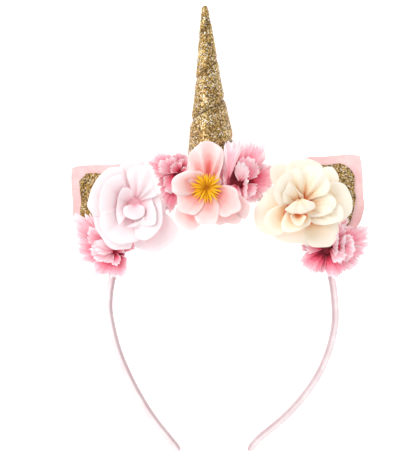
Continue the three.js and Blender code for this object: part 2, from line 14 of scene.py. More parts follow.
import bpy
import numpy as np
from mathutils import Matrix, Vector


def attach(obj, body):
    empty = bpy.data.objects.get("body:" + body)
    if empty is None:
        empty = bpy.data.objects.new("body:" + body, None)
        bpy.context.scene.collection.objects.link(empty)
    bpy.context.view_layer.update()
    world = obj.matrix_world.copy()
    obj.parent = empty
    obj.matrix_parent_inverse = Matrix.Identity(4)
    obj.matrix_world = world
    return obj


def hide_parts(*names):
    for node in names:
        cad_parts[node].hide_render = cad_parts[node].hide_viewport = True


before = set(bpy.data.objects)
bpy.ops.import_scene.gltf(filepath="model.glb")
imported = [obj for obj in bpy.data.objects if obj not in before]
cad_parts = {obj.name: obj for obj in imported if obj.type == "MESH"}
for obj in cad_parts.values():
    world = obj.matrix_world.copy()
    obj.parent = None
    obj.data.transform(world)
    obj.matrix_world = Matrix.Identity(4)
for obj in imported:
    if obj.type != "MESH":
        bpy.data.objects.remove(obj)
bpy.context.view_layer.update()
log = logging.getLogger("headband")

Colour = tuple[float, float, float, float]
TURN = 2 * math.pi
PHOTO_DISTANCE = 1300.0
PHOTO_CENTRE = (-7.36, 41.15)
PHOTO_DRAW = 1.0


# ---- Surfaces ---------------------------------------------------------------------------------


@dataclass(frozen=True)
class Placement:
    """Where the band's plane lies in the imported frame.

    Args:
        tilt: how far the plane is tipped about X, in degrees.
        offset: where the band's middle goes, in millimetres.
    """

    tilt: float = 3.533
    offset: tuple[float, float, float] = (0.250, -41.380, 8.409)

    def to_frame(self, points: np.ndarray) -> np.ndarray:
        """Turns points about X by the tilt, adds the offset and scales them to metres.

        Args:
            points: an array of any shape with x, y, z in its last axis, in millimetres.

        Returns:
            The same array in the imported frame, in metres.
        """
        turn = math.radians(self.tilt)
        x, y, z = np.moveaxis(points, -1, 0)
        turned = np.stack(
            [x, y * math.cos(turn) - z * math.sin(turn), y * math.sin(turn) + z * math.cos(turn)],
            axis=-1,
        )
        return (turned + np.array(self.offset)) * 0.001


@dataclass
class Body:
    """Points, faces and the values that a finish reads, ready to become a mesh.

    Args:
        points: one row per vertex, in millimetres.
        faces: arrays of vertex numbers, each with one face a row.
        values: one number per vertex for each named value.
    """

    points: np.ndarray
    faces: list[np.ndarray]
    values: dict[str, np.ndarray] = field(default_factory=dict)

    @staticmethod
    def joined(bodies: Sequence["Body"]) -> "Body":
        """Puts bodies into one, with each body's vertex numbers raised by those before it.

        Args:
            bodies: the bodies, which all hold the same named values.

        Returns:
            One body.
        """
        starts = np.cumsum([0] + [len(body.points) for body in bodies[:-1]])
        faces = [part + start for body, start in zip(bodies, starts) for part in body.faces]
        names = set().union(*(body.values for body in bodies))
        values = {
            name: np.concatenate([b.values.get(name, np.zeros(len(b.points))) for b in bodies])
            for name in names
        }
        return Body(np.concatenate([body.points for body in bodies]), faces, values)


def grid_faces(rows: int, columns: int, closed: bool) -> np.ndarray:
    """Quads between neighbouring rows and columns of a grid: here, right, right above, above.

    Args:
        rows: how many rows the grid has.
        columns: how many columns it has.
        closed: whether the last column joins the first.

    Returns:
        One quad a row.
    """
    row = np.arange(rows - 1)[:, None] * columns
    column = np.arange(columns if closed else columns - 1)[None, :]
    here, right = row + column, row + (column + 1) % columns
    return np.stack([here, right, right + columns, here + columns], axis=-1).reshape(-1, 4)


def grid_normals(points: np.ndarray, closed: bool) -> np.ndarray:
    """Unit normals: the way along the columns crossed with the way along the rows.

    Args:
        points: rows by columns by 3.
        closed: whether the last column joins the first.

    Returns:
        One normal per point.
    """
    wide = np.concatenate([points[:, -1:], points, points[:, :1]], axis=1) if closed else points
    along_columns = np.gradient(wide, axis=1)
    along_columns = along_columns[:, 1:-1] if closed else along_columns
    normals = np.cross(along_columns, np.gradient(points, axis=0))
    return normals / np.maximum(np.linalg.norm(normals, axis=-1, keepdims=True), 1e-9)


def shell(
    points: np.ndarray, thickness: float | np.ndarray, values: dict[str, np.ndarray], closed: bool = False
) -> Body:
    """A closed sheet: the grid moved half the thickness each way along its normals, with a rim.

    Args:
        points: rows by columns by 3, the sheet's middle surface.
        thickness: the sheet's thickness in millimetres, one number or one per point.
        values: rows by columns for each named value.
        closed: whether the last column joins the first.

    Returns:
        The sheet as a closed body.
    """
    rows, columns = points.shape[:2]
    half = np.broadcast_to(np.asarray(thickness, dtype=float) / 2, (rows, columns))[..., None]
    normals = grid_normals(points, closed) * half
    back = rows * columns
    front = grid_faces(rows, columns, closed)
    number = np.arange(back).reshape(rows, columns)
    if closed:
        loops = [number[0], number[-1, ::-1]]
    else:
        loops = [np.concatenate([number[0], number[1:, -1], number[-1, -2::-1], number[-2:0:-1, 0]])]
    rims = [np.stack([loop, loop + back, np.roll(loop, -1) + back, np.roll(loop, -1)], -1) for loop in loops]
    both = {name: np.tile(np.broadcast_to(value, (rows, columns)).ravel(), 2) for name, value in values.items()}
    vertices = np.concatenate([(points + normals).reshape(-1, 3), (points - normals).reshape(-1, 3)])
    return Body(vertices, [front, front[:, ::-1] + back, *rims], both)


def tube(points: np.ndarray, values: dict[str, np.ndarray]) -> Body:
    """A closed body from rings, each joined to the next, with a fan of triangles at both ends.

    It is turned so that its signed volume, a sum of a · (b × c) over its faces, is positive.

    Args:
        points: rings by sides by 3.
        values: rings by sides for each named value.

    Returns:
        The closed body, faces outwards.
    """
    rings, sides = points.shape[:2]
    quads = grid_faces(rings, sides, True)
    ends = np.stack([points[0].mean(axis=0), points[-1].mean(axis=0)])
    first = np.arange(sides)
    last = first + (rings - 1) * sides
    fans = np.concatenate(
        [
            np.stack([np.full(sides, rings * sides), np.roll(first, -1), first], -1),
            np.stack([np.full(sides, rings * sides + 1), last, np.roll(last, -1)], -1),
        ]
    )
    vertices = np.concatenate([points.reshape(-1, 3), ends])
    a, b, c = (vertices[quads[:, k]] for k in range(3))
    a2, c2, d2 = (vertices[quads[:, k]] for k in (0, 2, 3))
    volume = np.einsum("ij,ij->", a, np.cross(b, c)) + np.einsum("ij,ij->", a2, np.cross(c2, d2))
    if volume < 0:
        quads, fans = quads[:, ::-1], fans[:, ::-1]
    whole = {}
    for name, value in values.items():
        full = np.broadcast_to(value, (rings, sides))
        whole[name] = np.concatenate([full.ravel(), [full[0].mean(), full[-1].mean()]])
    return Body(vertices, [quads, fans], whole)


def smooth_table(at: np.ndarray, keys: Sequence[float], heights: Sequence[float]) -> np.ndarray:
    """Reads a table along a curve that never overshoots its rows.

    Between two rows it is a cubic whose slope at each row is the harmonic mean of the slopes on
    both sides, or nought where they differ in sign.

    Args:
        at: where to read.
        keys: the rows' places, rising.
        heights: the rows' values.

    Returns:
        The values read.
    """
    x, y = np.asarray(keys, dtype=float), np.asarray(heights, dtype=float)
    step = np.diff(x)
    secant = np.diff(y) / step
    before, after = secant[:-1], secant[1:]
    same = before * after > 0
    inner = np.where(same, 2 * before * after / np.where(same, before + after, 1), 0)
    slope = np.concatenate([[secant[0]], inner, [secant[-1]]])
    at = np.clip(at, x[0], x[-1])
    i = np.clip(np.searchsorted(x, at, side="right") - 1, 0, len(step) - 1)
    t = (at - x[i]) / step[i]
    start = (1 + 2 * t) * (1 - t) ** 2 * y[i] + t * (1 - t) ** 2 * step[i] * slope[i]
    return start + t**2 * (3 - 2 * t) * y[i + 1] + t**2 * (t - 1) * step[i] * slope[i + 1]


def rise_line(
    seat: float, reach: np.ndarray, rise: float, lay: float, share: np.ndarray
) -> tuple[np.ndarray, np.ndarray, np.ndarray]:
    """An arc from the seat to the rim, whose slope goes evenly from rise to lay.

    Its distance from the axis is the seat plus the integral of the slope's cosine, and its height
    the integral of its sine.

    Args:
        seat: where the line starts, from the head's axis.
        reach: how far from the axis it ends.
        rise: its slope at the seat, in degrees.
        lay: its slope at the rim, in degrees.
        share: how far along the line, from 0 to 1.

    Returns:
        The distance from the axis, the height and the slope in radians.
    """
    start, end = math.radians(rise), math.radians(lay)
    bend = end - start
    length = (reach - seat) * bend / (math.sin(end) - math.sin(start))
    slope = start + bend * share
    out = seat + length / bend * (np.sin(slope) - math.sin(start))
    return out, length / bend * (math.cos(start) - np.cos(slope)), slope


def build_object(name: str, body: Body, placement: Placement, levels: int = 0, crease: float = 0) -> bpy.types.Object:
    """Makes a mesh object at the origin from a body.

    Args:
        name: the object's name.
        body: what it is made from.
        placement: where the band's plane lies.
        levels: how many times the surface is subdivided.
        crease: edges that turn by more than this angle in degrees are shaded sharp, if not 0.

    Returns:
        The object, linked to the scene.
    """
    mesh = bpy.data.meshes.new(name)
    faces = [face for part in body.faces for face in part.tolist()]
    mesh.from_pydata(placement.to_frame(body.points).tolist(), [], faces)
    for value_name, value in body.values.items():
        layer = mesh.attributes.new(value_name, "FLOAT", "POINT")
        layer.data.foreach_set("value", np.ascontiguousarray(value, dtype=np.float32))
    mesh.polygons.foreach_set("use_smooth", np.ones(len(mesh.polygons), dtype=bool))
    mesh.update()
    if crease:
        mesh.set_sharp_from_angle(angle=math.radians(crease))
    piece = bpy.data.objects.new(name, mesh)
    bpy.context.collection.objects.link(piece)
    if levels:
        subdivision = piece.modifiers.new("subdivision", "SUBSURF")
        subdivision.levels = subdivision.render_levels = levels
    return piece


# ---- Finishes ---------------------------------------------------------------------------------


def colour(code: str) -> Colour:
    """Turns a colour such as f3d4d6 into linear light, by the usual curve of screens."""
    channels = [int(code[i : i + 2], 16) / 255 for i in (0, 2, 4)]
    linear = [c / 12.92 if c <= 0.04045 else ((c + 0.055) / 1.055) ** 2.4 for c in channels]
    return (linear[0], linear[1], linear[2], 1.0)


class Shader:
    """A material whose nodes are added one after another."""

    def __init__(self, name: str) -> None:
        """Starts a material with a principled surface.

        Args:
            name: the material's name.
        """
        self.material = bpy.data.materials.new(name)
        self.material.use_nodes = True
        self.tree = self.material.node_tree
        self.surface = self.tree.nodes["Principled BSDF"]

    def add(self, kind: str, inputs: dict[str | int, object] | None = None, **settings: object) -> bpy.types.Node:
        """Adds a node.

        Args:
            kind: the node's type without its first part, such as TexNoise.
            inputs: by socket, either a value or another node's output to link.
            settings: the node's own settings.

        Returns:
            The node.
        """
        node = self.tree.nodes.new("ShaderNode" + kind)
        for name, value in settings.items():
            setattr(node, name, value)
        for socket, value in (inputs or {}).items():
            self.put(node.inputs[socket], value)
        return node

    def put(self, socket: bpy.types.NodeSocket, value: object) -> None:
        """Links an output to a socket, or sets the socket's value."""
        if isinstance(value, bpy.types.NodeSocket):
            self.tree.links.new(value, socket)
        else:
            socket.default_value = value

    def dress(self, **inputs: object) -> None:
        """Sets or links the surface's sockets, named in small letters with lines for spaces."""
        for name, value in inputs.items():
            self.put(self.surface.inputs[name.replace("_", " ").title()], value)

    def place(self, scale: float, stretch: tuple[float, float, float] = (1, 1, 1)) -> bpy.types.NodeSocket:
        """Object coordinates times a scale and a stretch."""
        where = self.add("TexCoord").outputs["Object"]
        return self.add(
            "Mapping", {"Vector": where, "Scale": tuple(scale * s for s in stretch)}
        ).outputs["Vector"]

    def value(self, name: str) -> bpy.types.NodeSocket:
        """The piece's own named value."""
        return self.add("Attribute", attribute_name=name).outputs["Fac"]

    def math(self, operation: str, a: object, b: object = 0.0, c: object = 0.0) -> bpy.types.NodeSocket:
        """One sum on two or three numbers."""
        return self.add("Math", {0: a, 1: b, 2: c}, operation=operation).outputs[0]

    def noise(self, vector: object, scale: float, detail: float = 2.0) -> bpy.types.NodeSocket:
        """Smooth noise from 0 to 1."""
        return self.add("TexNoise", {"Vector": vector, "Scale": scale, "Detail": detail}).outputs["Fac"]

    def ramp(self, factor: object, stops: Sequence[tuple[float, str]], steps: bool = False) -> bpy.types.NodeSocket:
        """Colours at rising factors.

        Args:
            factor: what picks the colour.
            stops: factors and colour codes.
            steps: whether the colours change at once and not gradually.

        Returns:
            The colour.
        """
        node = self.add("ValToRGB", {"Fac": factor})
        node.color_ramp.interpolation = "CONSTANT" if steps else "EASE"
        while len(node.color_ramp.elements) < len(stops):
            node.color_ramp.elements.new(0.5)
        for element, (at, code) in zip(node.color_ramp.elements, stops):
            element.position = at
            element.color = colour(code)
        return node.outputs["Color"]

    def mix(self, factor: object, a: object, b: object, blend: str = "MIX") -> bpy.types.NodeSocket:
        """Two colours mixed."""
        node = self.add("Mix", data_type="RGBA", blend_type=blend)
        for socket, value in zip((0, 6, 7), (factor, a, b)):
            self.put(node.inputs[socket], value)
        return node.outputs[2]

    def bump(self, height: object, distance: float, strength: float, normal: object = None) -> bpy.types.NodeSocket:
        """A normal that leans with a height, in metres."""
        inputs = {"Height": height, "Distance": distance, "Strength": strength}
        if normal is not None:
            inputs["Normal"] = normal
        return self.add("Bump", inputs).outputs["Normal"]


@dataclass(frozen=True)
class SatinFinish:
    """Satin ribbon laid along the band: fine threads along it, with painted shade on its sides, spreading further over
    the inside, and a painted highlight line near its front.
    """

    name: str = "satin_ribbon"
    body: str = "f1e3e4"
    # line is a painted highlight colour, and edge a painted shade colour for the band's sides.
    line: str = "fdf8f8"
    edge: str = "c6b1b4"
    roughness: float = 0.34

    def material(self) -> bpy.types.Material:
        """The nodes: the share of the way to the inside picks painted shade at the sides and a painted highlight line
        near the front, and stretched noise gives threads.
        """
        shader = Shader(self.name)
        inner = shader.value("inner")
        # Painted shade on both sides of the band, spreading further over the inside, and a painted highlight line
        # between the outer side and the front.
        painted_shade_and_highlight = shader.ramp(inner, [(0.04, self.edge), (0.3, self.body), (0.42, self.line), (0.5, self.body), (0.66, self.edge)])
        patch = shader.noise(shader.place(1.0), 160.0)
        tone = shader.ramp(patch, [(0.3, "f6ecee"), (0.7, "ffffff")])
        along = shader.math("MULTIPLY", shader.value("run"), 0.05)
        place = shader.add("CombineXYZ", {0: shader.math("MULTIPLY", inner, 30.0), 1: along})
        threads = shader.noise(place.outputs[0], 3.0, 1.0)
        shader.dress(
            base_color=shader.mix(1.0, painted_shade_and_highlight, tone, "MULTIPLY"),
            roughness=self.roughness,
            normal=shader.bump(threads, 0.0001, 0.25),
            anisotropic=0.4,
            sheen_weight=0.2,
            sheen_roughness=0.4,
        )
        return shader.material


@dataclass(frozen=True)
class GlitterFinish:
    """Glitter cloth: flakes of gold film, each turned its own way, the brightest painted as glints and the darkest as
    painted shade, with painted crease shade along the horn's thread.
    """

    name: str
    flake: float = 0.6
    metallic: float = 0.6
    # thread: the colour of painted crease shade along the horn's thread.
    thread: str = "4d3512"

    def material(self) -> bpy.types.Material:
        """The nodes: cells of two sizes pick each flake's colour, from painted shade to painted glint, and its
        roughness and lean.
        """
        shader = Shader(self.name)
        where = shader.place(1.0)
        flakes = shader.add("TexVoronoi", {"Vector": where, "Scale": 1000 / self.flake})
        specks = shader.add("TexVoronoi", {"Vector": where, "Scale": 1900 / self.flake})
        pick = shader.add("SeparateColor", {0: flakes.outputs["Color"]})
        small = shader.add("SeparateColor", {0: specks.outputs["Color"]})
        # Flake colours step from near black to white: random flake tone, with the darkest flakes painted shade and the
        # whitest painted glints.
        gold = shader.ramp(
            pick.outputs[0],
            [(0.0, "1d1303"), (0.15, "5c3f12"), (0.31, "946f28"), (0.5, "c39c49"), (0.67, "e0bd70"),
             (0.81, "f8e5ab"), (0.91, "ffffff")],
            steps=True,
        )
        # The small specks also run from painted shade to painted glints.
        fine = shader.ramp(
            small.outputs[1],
            [(0.0, "2c1f08"), (0.16, "8a6828"), (0.42, "c4a058"), (0.72, "e9d39c"), (0.9, "ffffff")],
            steps=True,
        )
        patch = shader.ramp(shader.noise(where, 90.0), [(0.3, "e9dcc8"), (0.7, "ffffff")])
        both = shader.mix(0.25, gold, fine)
        # Darkens the thread's line as painted shade in the crease that the thread pinches.
        line = shader.math("MULTIPLY", shader.value("thread"), 0.8)
        both = shader.mix(line, both, colour(self.thread))
        lean = shader.math("ADD", pick.outputs[1], small.outputs[2])
        shader.dress(
            base_color=shader.mix(1.0, both, patch, "MULTIPLY"),
            metallic=self.metallic,
            roughness=shader.math("MULTIPLY_ADD", pick.outputs[2], 0.35, 0.25),
            normal=shader.bump(lean, 0.00035, 0.7),
        )
        return shader.material


@dataclass(frozen=True)
class FeltFinish:
    """Pressed felt: matted fibres and soft blotches."""

    name: str = "pink_felt"
    light: str = "fcd9d8"
    deep: str = "f3bfc0"

    def material(self) -> bpy.types.Material:
        """The nodes: coarse noise for the blotches, stretched fine noise for the fibres."""
        shader = Shader(self.name)
        where = shader.place(1.0)
        fibres = shader.noise(shader.place(1.0, (1.0, 2.4, 1.0)), 1500.0, 4.0)
        blotches = shader.noise(where, 140.0, 3.0)
        mixed = shader.math("MULTIPLY_ADD", fibres, 0.5, shader.math("MULTIPLY", blotches, 0.5))
        shader.dress(
            base_color=shader.ramp(mixed, [(0.32, self.deep), (0.62, self.light)]),
            roughness=0.95,
            sheen_weight=0.6,
            sheen_roughness=0.6,
            normal=shader.bump(fibres, 0.0004, 0.5),
        )
        return shader.material


@dataclass(frozen=True)
class PetalFinish:
    """Dyed flower cloth: a tinted throat, partly dye and partly painted shade deep in the flower, that fades to a pale
    rim, with faint veins and a fine weave.

    Args:
        name: the material's name.
        stops: the shares of the way to the rim and the colours there.
        vein: the colour that the veins add.
        vein_weight: how strongly they show.
        veins: how many there are from side to side.
        painted_fold_shading_weight: how much deeper the colour is painted in grooves and pleat hollows as painted
            shade, and paler on ridges as painted highlight.
        vein_relief: how far the veins stand out.
    """

    name: str
    stops: tuple[tuple[float, str], ...]
    vein: str
    vein_weight: float = 0.12
    veins: float = 9.0
    painted_fold_shading_weight: float = 0.35
    vein_relief: float = 0.1

    def material(self) -> bpy.types.Material:
        """The nodes: reach to a power set by the tone, less the painted fold shading, picks the colour; the throat's
        deeper colour is partly dye and partly painted shade.
        """
        shader = Shader(self.name)
        reach, across, tone = (shader.value(name) for name in ("reach", "across", "tone"))
        patch = shader.noise(shader.place(1.0), 190.0, 3.0)
        # A low tone deepens the colour: deeper dye on some petals, painted shade on petals that lie in shadow.
        spread = shader.math("POWER", reach, shader.math("MULTIPLY_ADD", tone, -2.0, 1.0))
        moved = shader.math("MULTIPLY_ADD", shader.math("SUBTRACT", patch, 0.5), 0.25, spread)
        # Painted shade in grooves and pleat hollows, and a painted highlight on ridges and pleat crests.
        moved = shader.math("SUBTRACT", moved, shader.math("MULTIPLY", shader.value("painted_fold_shading"), self.painted_fold_shading_weight))
        base = shader.ramp(moved, self.stops)
        streak_place = shader.add("CombineXYZ", {0: across, 1: shader.math("MULTIPLY", reach, 0.12), 2: tone})
        streaks = shader.noise(streak_place.outputs[0], self.veins, 3.0)
        veins = shader.ramp(streaks, [(0.42, "000000"), (0.62, "ffffff")])
        fading = shader.math("MULTIPLY_ADD", reach, -0.75 * self.vein_weight, self.vein_weight)
        weight = shader.math("MULTIPLY", veins, fading)
        weave = shader.noise(shader.place(1.0), 2600.0, 1.0)
        grain = shader.bump(weave, 0.00012, 0.3)
        shader.dress(
            base_color=shader.mix(weight, base, colour(self.vein), "MULTIPLY"),
            roughness=0.8,
            sheen_weight=0.3,
            sheen_roughness=0.5,
            subsurface_weight=0.3,
            subsurface_radius=(1.0, 0.85, 0.85),
            subsurface_scale=0.0012,
            normal=shader.bump(streaks, 0.0003, self.vein_relief, grain),
        )
        return shader.material


@dataclass(frozen=True)
class PlasticFinish:
    """Moulded soft plastic: slightly cloudy, with shallow grain."""

    name: str
    body: str
    tip: str
    roughness: float = 0.55

    def material(self) -> bpy.types.Material:
        """The nodes: reach fades the colour to the tip, noise gives grain."""
        shader = Shader(self.name)
        grain = shader.noise(shader.place(1.0), 900.0, 2.0)
        fade = shader.math("MULTIPLY_ADD", shader.math("SUBTRACT", grain, 0.5), 0.3, shader.value("reach"))
        shader.dress(
            base_color=shader.ramp(fade, [(0.1, self.body), (0.8, self.tip)]),
            roughness=self.roughness,
            subsurface_weight=0.1,
            subsurface_scale=0.002,
            normal=shader.bump(grain, 0.0002, 0.3),
        )
        return shader.material


# ---- The hoop and what stands on it -----------------------------------------------------------


class Side(Enum):
    """The headband's two sides, as the photograph has them."""

    LEFT = "left"
    RIGHT = "right"


def dress_piece(piece: bpy.types.Object, slot: str, material: bpy.types.Material, *nodes: str) -> bpy.types.Object:
    """Gives a piece its body and finish, and lets it stand for CAD nodes.

    Args:
        piece: the piece.
        slot: the record's material slot; not used.
        material: its finish.
        nodes: the CAD nodes that it replaces.

    Returns:
        The piece.
    """
    piece.data.materials.append(material)
    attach(piece, "root")
    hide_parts(*nodes)
    log.info("%s: %d faces, for %s", piece.name, len(piece.data.polygons), ", ".join(nodes))
    return piece


@dataclass(frozen=True)
class Band:
    """The hoop, covered with satin ribbon. Sizes are in millimetres."""

    half_span: float = 61.5
    rise: float = 62.0
    arm_drop: float = 79.5
    thickness: float = 4.1
    depth: float = 7.0
    corner: float = 2.0
    tip_taper: float = 4.5
    tip_share: float = 0.5
    seam_depth: float = 0.15
    seam_width: float = 0.03
    ripple: float = 0.05
    rings: int = 900
    sides: int = 36
    clearance: float = 0.3
    arm_down: tuple[float, ...] = (0.14, 0.3, 0.455, 0.61, 0.77, 0.92, 1.0)
    arm_left: tuple[float, ...] = (0.977, 0.924, 0.844, 0.743, 0.613, 0.46, 0.374)
    arm_right: tuple[float, ...] = (0.998, 0.951, 0.868, 0.738, 0.55, 0.32, 0.232)
    crown_step: float = 18.0

    @property
    def front(self) -> float:
        """How high the band's front stands over its middle."""
        return self.depth / 2

    def crown_point(self, angle: float) -> np.ndarray:
        """The centre line at an angle round the crown: half span · cos, rise · sin."""
        a = math.radians(angle)
        return np.array([self.half_span * math.cos(a), self.rise * math.sin(a), 0.0])

    def crown_outward(self, angle: float) -> np.ndarray:
        """The way out from the crown there: cos over half span, sin over rise, made one long."""
        a = math.radians(angle)
        way = np.array([math.cos(a) / self.half_span, math.sin(a) / self.rise, 0.0])
        return way / np.linalg.norm(way)

    def knots(self) -> np.ndarray:
        """The points that the centre line goes through, from the left arm's end to the right's."""
        down = -np.array(self.arm_down) * self.arm_drop
        left = np.stack([-np.array(self.arm_left) * self.half_span, down], axis=-1)[::-1]
        right = np.stack([np.array(self.arm_right) * self.half_span, down], axis=-1)
        angle = np.radians(np.arange(180.0, -0.1, -self.crown_step))
        crown = np.stack([self.half_span * np.cos(angle), self.rise * np.sin(angle)], axis=-1)
        return np.concatenate([left, crown, right])

    def centre_line(self) -> tuple[np.ndarray, np.ndarray, np.ndarray]:
        """The centre line at even steps.

        Each stretch between two knots is a cubic. The slope at a knot weighs the slopes to its
        neighbours by the square roots of their distances.

        Returns:
            The points, the ways along and the distances from the left end.
        """
        knots = self.knots()
        ends = [2 * knots[0] - knots[1], 2 * knots[-1] - knots[-2]]
        p = np.concatenate([ends[:1], knots, ends[1:]])
        gap = np.sqrt(np.linalg.norm(np.diff(p, axis=0), axis=1))[:, None]
        before, here, after = gap[:-2], gap[1:-1], gap[2:]
        a, b, c, d = p[:-3], p[1:-2], p[2:-1], p[3:]
        leave = here * ((b - a) / before - (c - a) / (before + here) + (c - b) / here)
        arrive = here * ((c - b) / here - (d - b) / (here + after) + (d - c) / after)
        t = np.linspace(0, 1, 60, endpoint=False)[:, None, None]
        curve = (
            (2 * t**3 - 3 * t**2 + 1) * b + (t**3 - 2 * t**2 + t) * leave
            + (3 * t**2 - 2 * t**3) * c + (t**3 - t**2) * arrive
        )
        fine = np.concatenate([np.swapaxes(curve, 0, 1).reshape(-1, 2), knots[-1:]])
        run = np.concatenate([[0], np.cumsum(np.linalg.norm(np.diff(fine, axis=0), axis=1))])
        at = np.linspace(0, run[-1], self.rings)
        line = np.stack([np.interp(at, run, fine[:, k]) for k in range(2)], axis=-1)
        along = np.gradient(line, axis=0)
        along = along / np.linalg.norm(along, axis=1, keepdims=True)
        return line, along, at

    def body(self) -> Body:
        """The covered hoop.

        Its section is a rectangle with round corners. A bell-shaped groove along its inside is
        the ribbon's seam, and slow sines ripple the ribbon on its front.

        Returns:
            The closed body, with the share of the way to the inside, which sets the satin's painted shade and
            highlight, and the run as its values.
        """
        line, along, at = self.centre_line()
        side = np.arange(self.sides) / self.sides
        angle = TURN * side
        corner, wide, deep = self.corner, self.thickness / 2, self.depth / 2
        flat = np.stack([np.cos(angle), np.sin(angle)])
        core = np.sign(flat) * (np.abs(flat) ** 0.7)
        section = np.stack([core[0] * (wide - corner) + flat[0] * corner, core[1] * (deep - corner) + flat[1] * corner])
        from_end = np.minimum(at, at[-1] - at)
        reach = np.minimum(1, from_end / self.tip_taper)
        taper = self.tip_share * 0.4 + (1 - self.tip_share * 0.4) * np.sqrt(1 - (1 - reach) ** 2)
        seam = self.seam_depth * np.exp(-(((side - 0.5) / self.seam_width) ** 2))
        waves = np.sin(at / 3.1 + 2 * np.sin(at / 17))[:, None]
        lift = self.ripple * waves * np.clip(flat[1], 0, 1) - seam
        out = section[0][None, :] * taper[:, None] + lift * flat[0]
        up = section[1][None, :] * (0.55 + 0.45 * taper[:, None]) + lift * flat[1]
        outward = np.stack([-along[:, 1], along[:, 0]], axis=-1)
        flat_points = line[:, None, :] + outward[:, None, :] * out[..., None]
        points = np.concatenate([flat_points, up[..., None]], axis=-1)
        return tube(points, {"inner": 1 - np.abs(2 * side - 1)[None, :], "run": at[:, None]})

    def make(self, placement: Placement) -> bpy.types.Object:
        """Builds and dresses the hoop."""
        piece = build_object("ribbon_band", self.body(), placement)
        return dress_piece(piece, "satin_ribbon", SatinFinish().material(), "band")


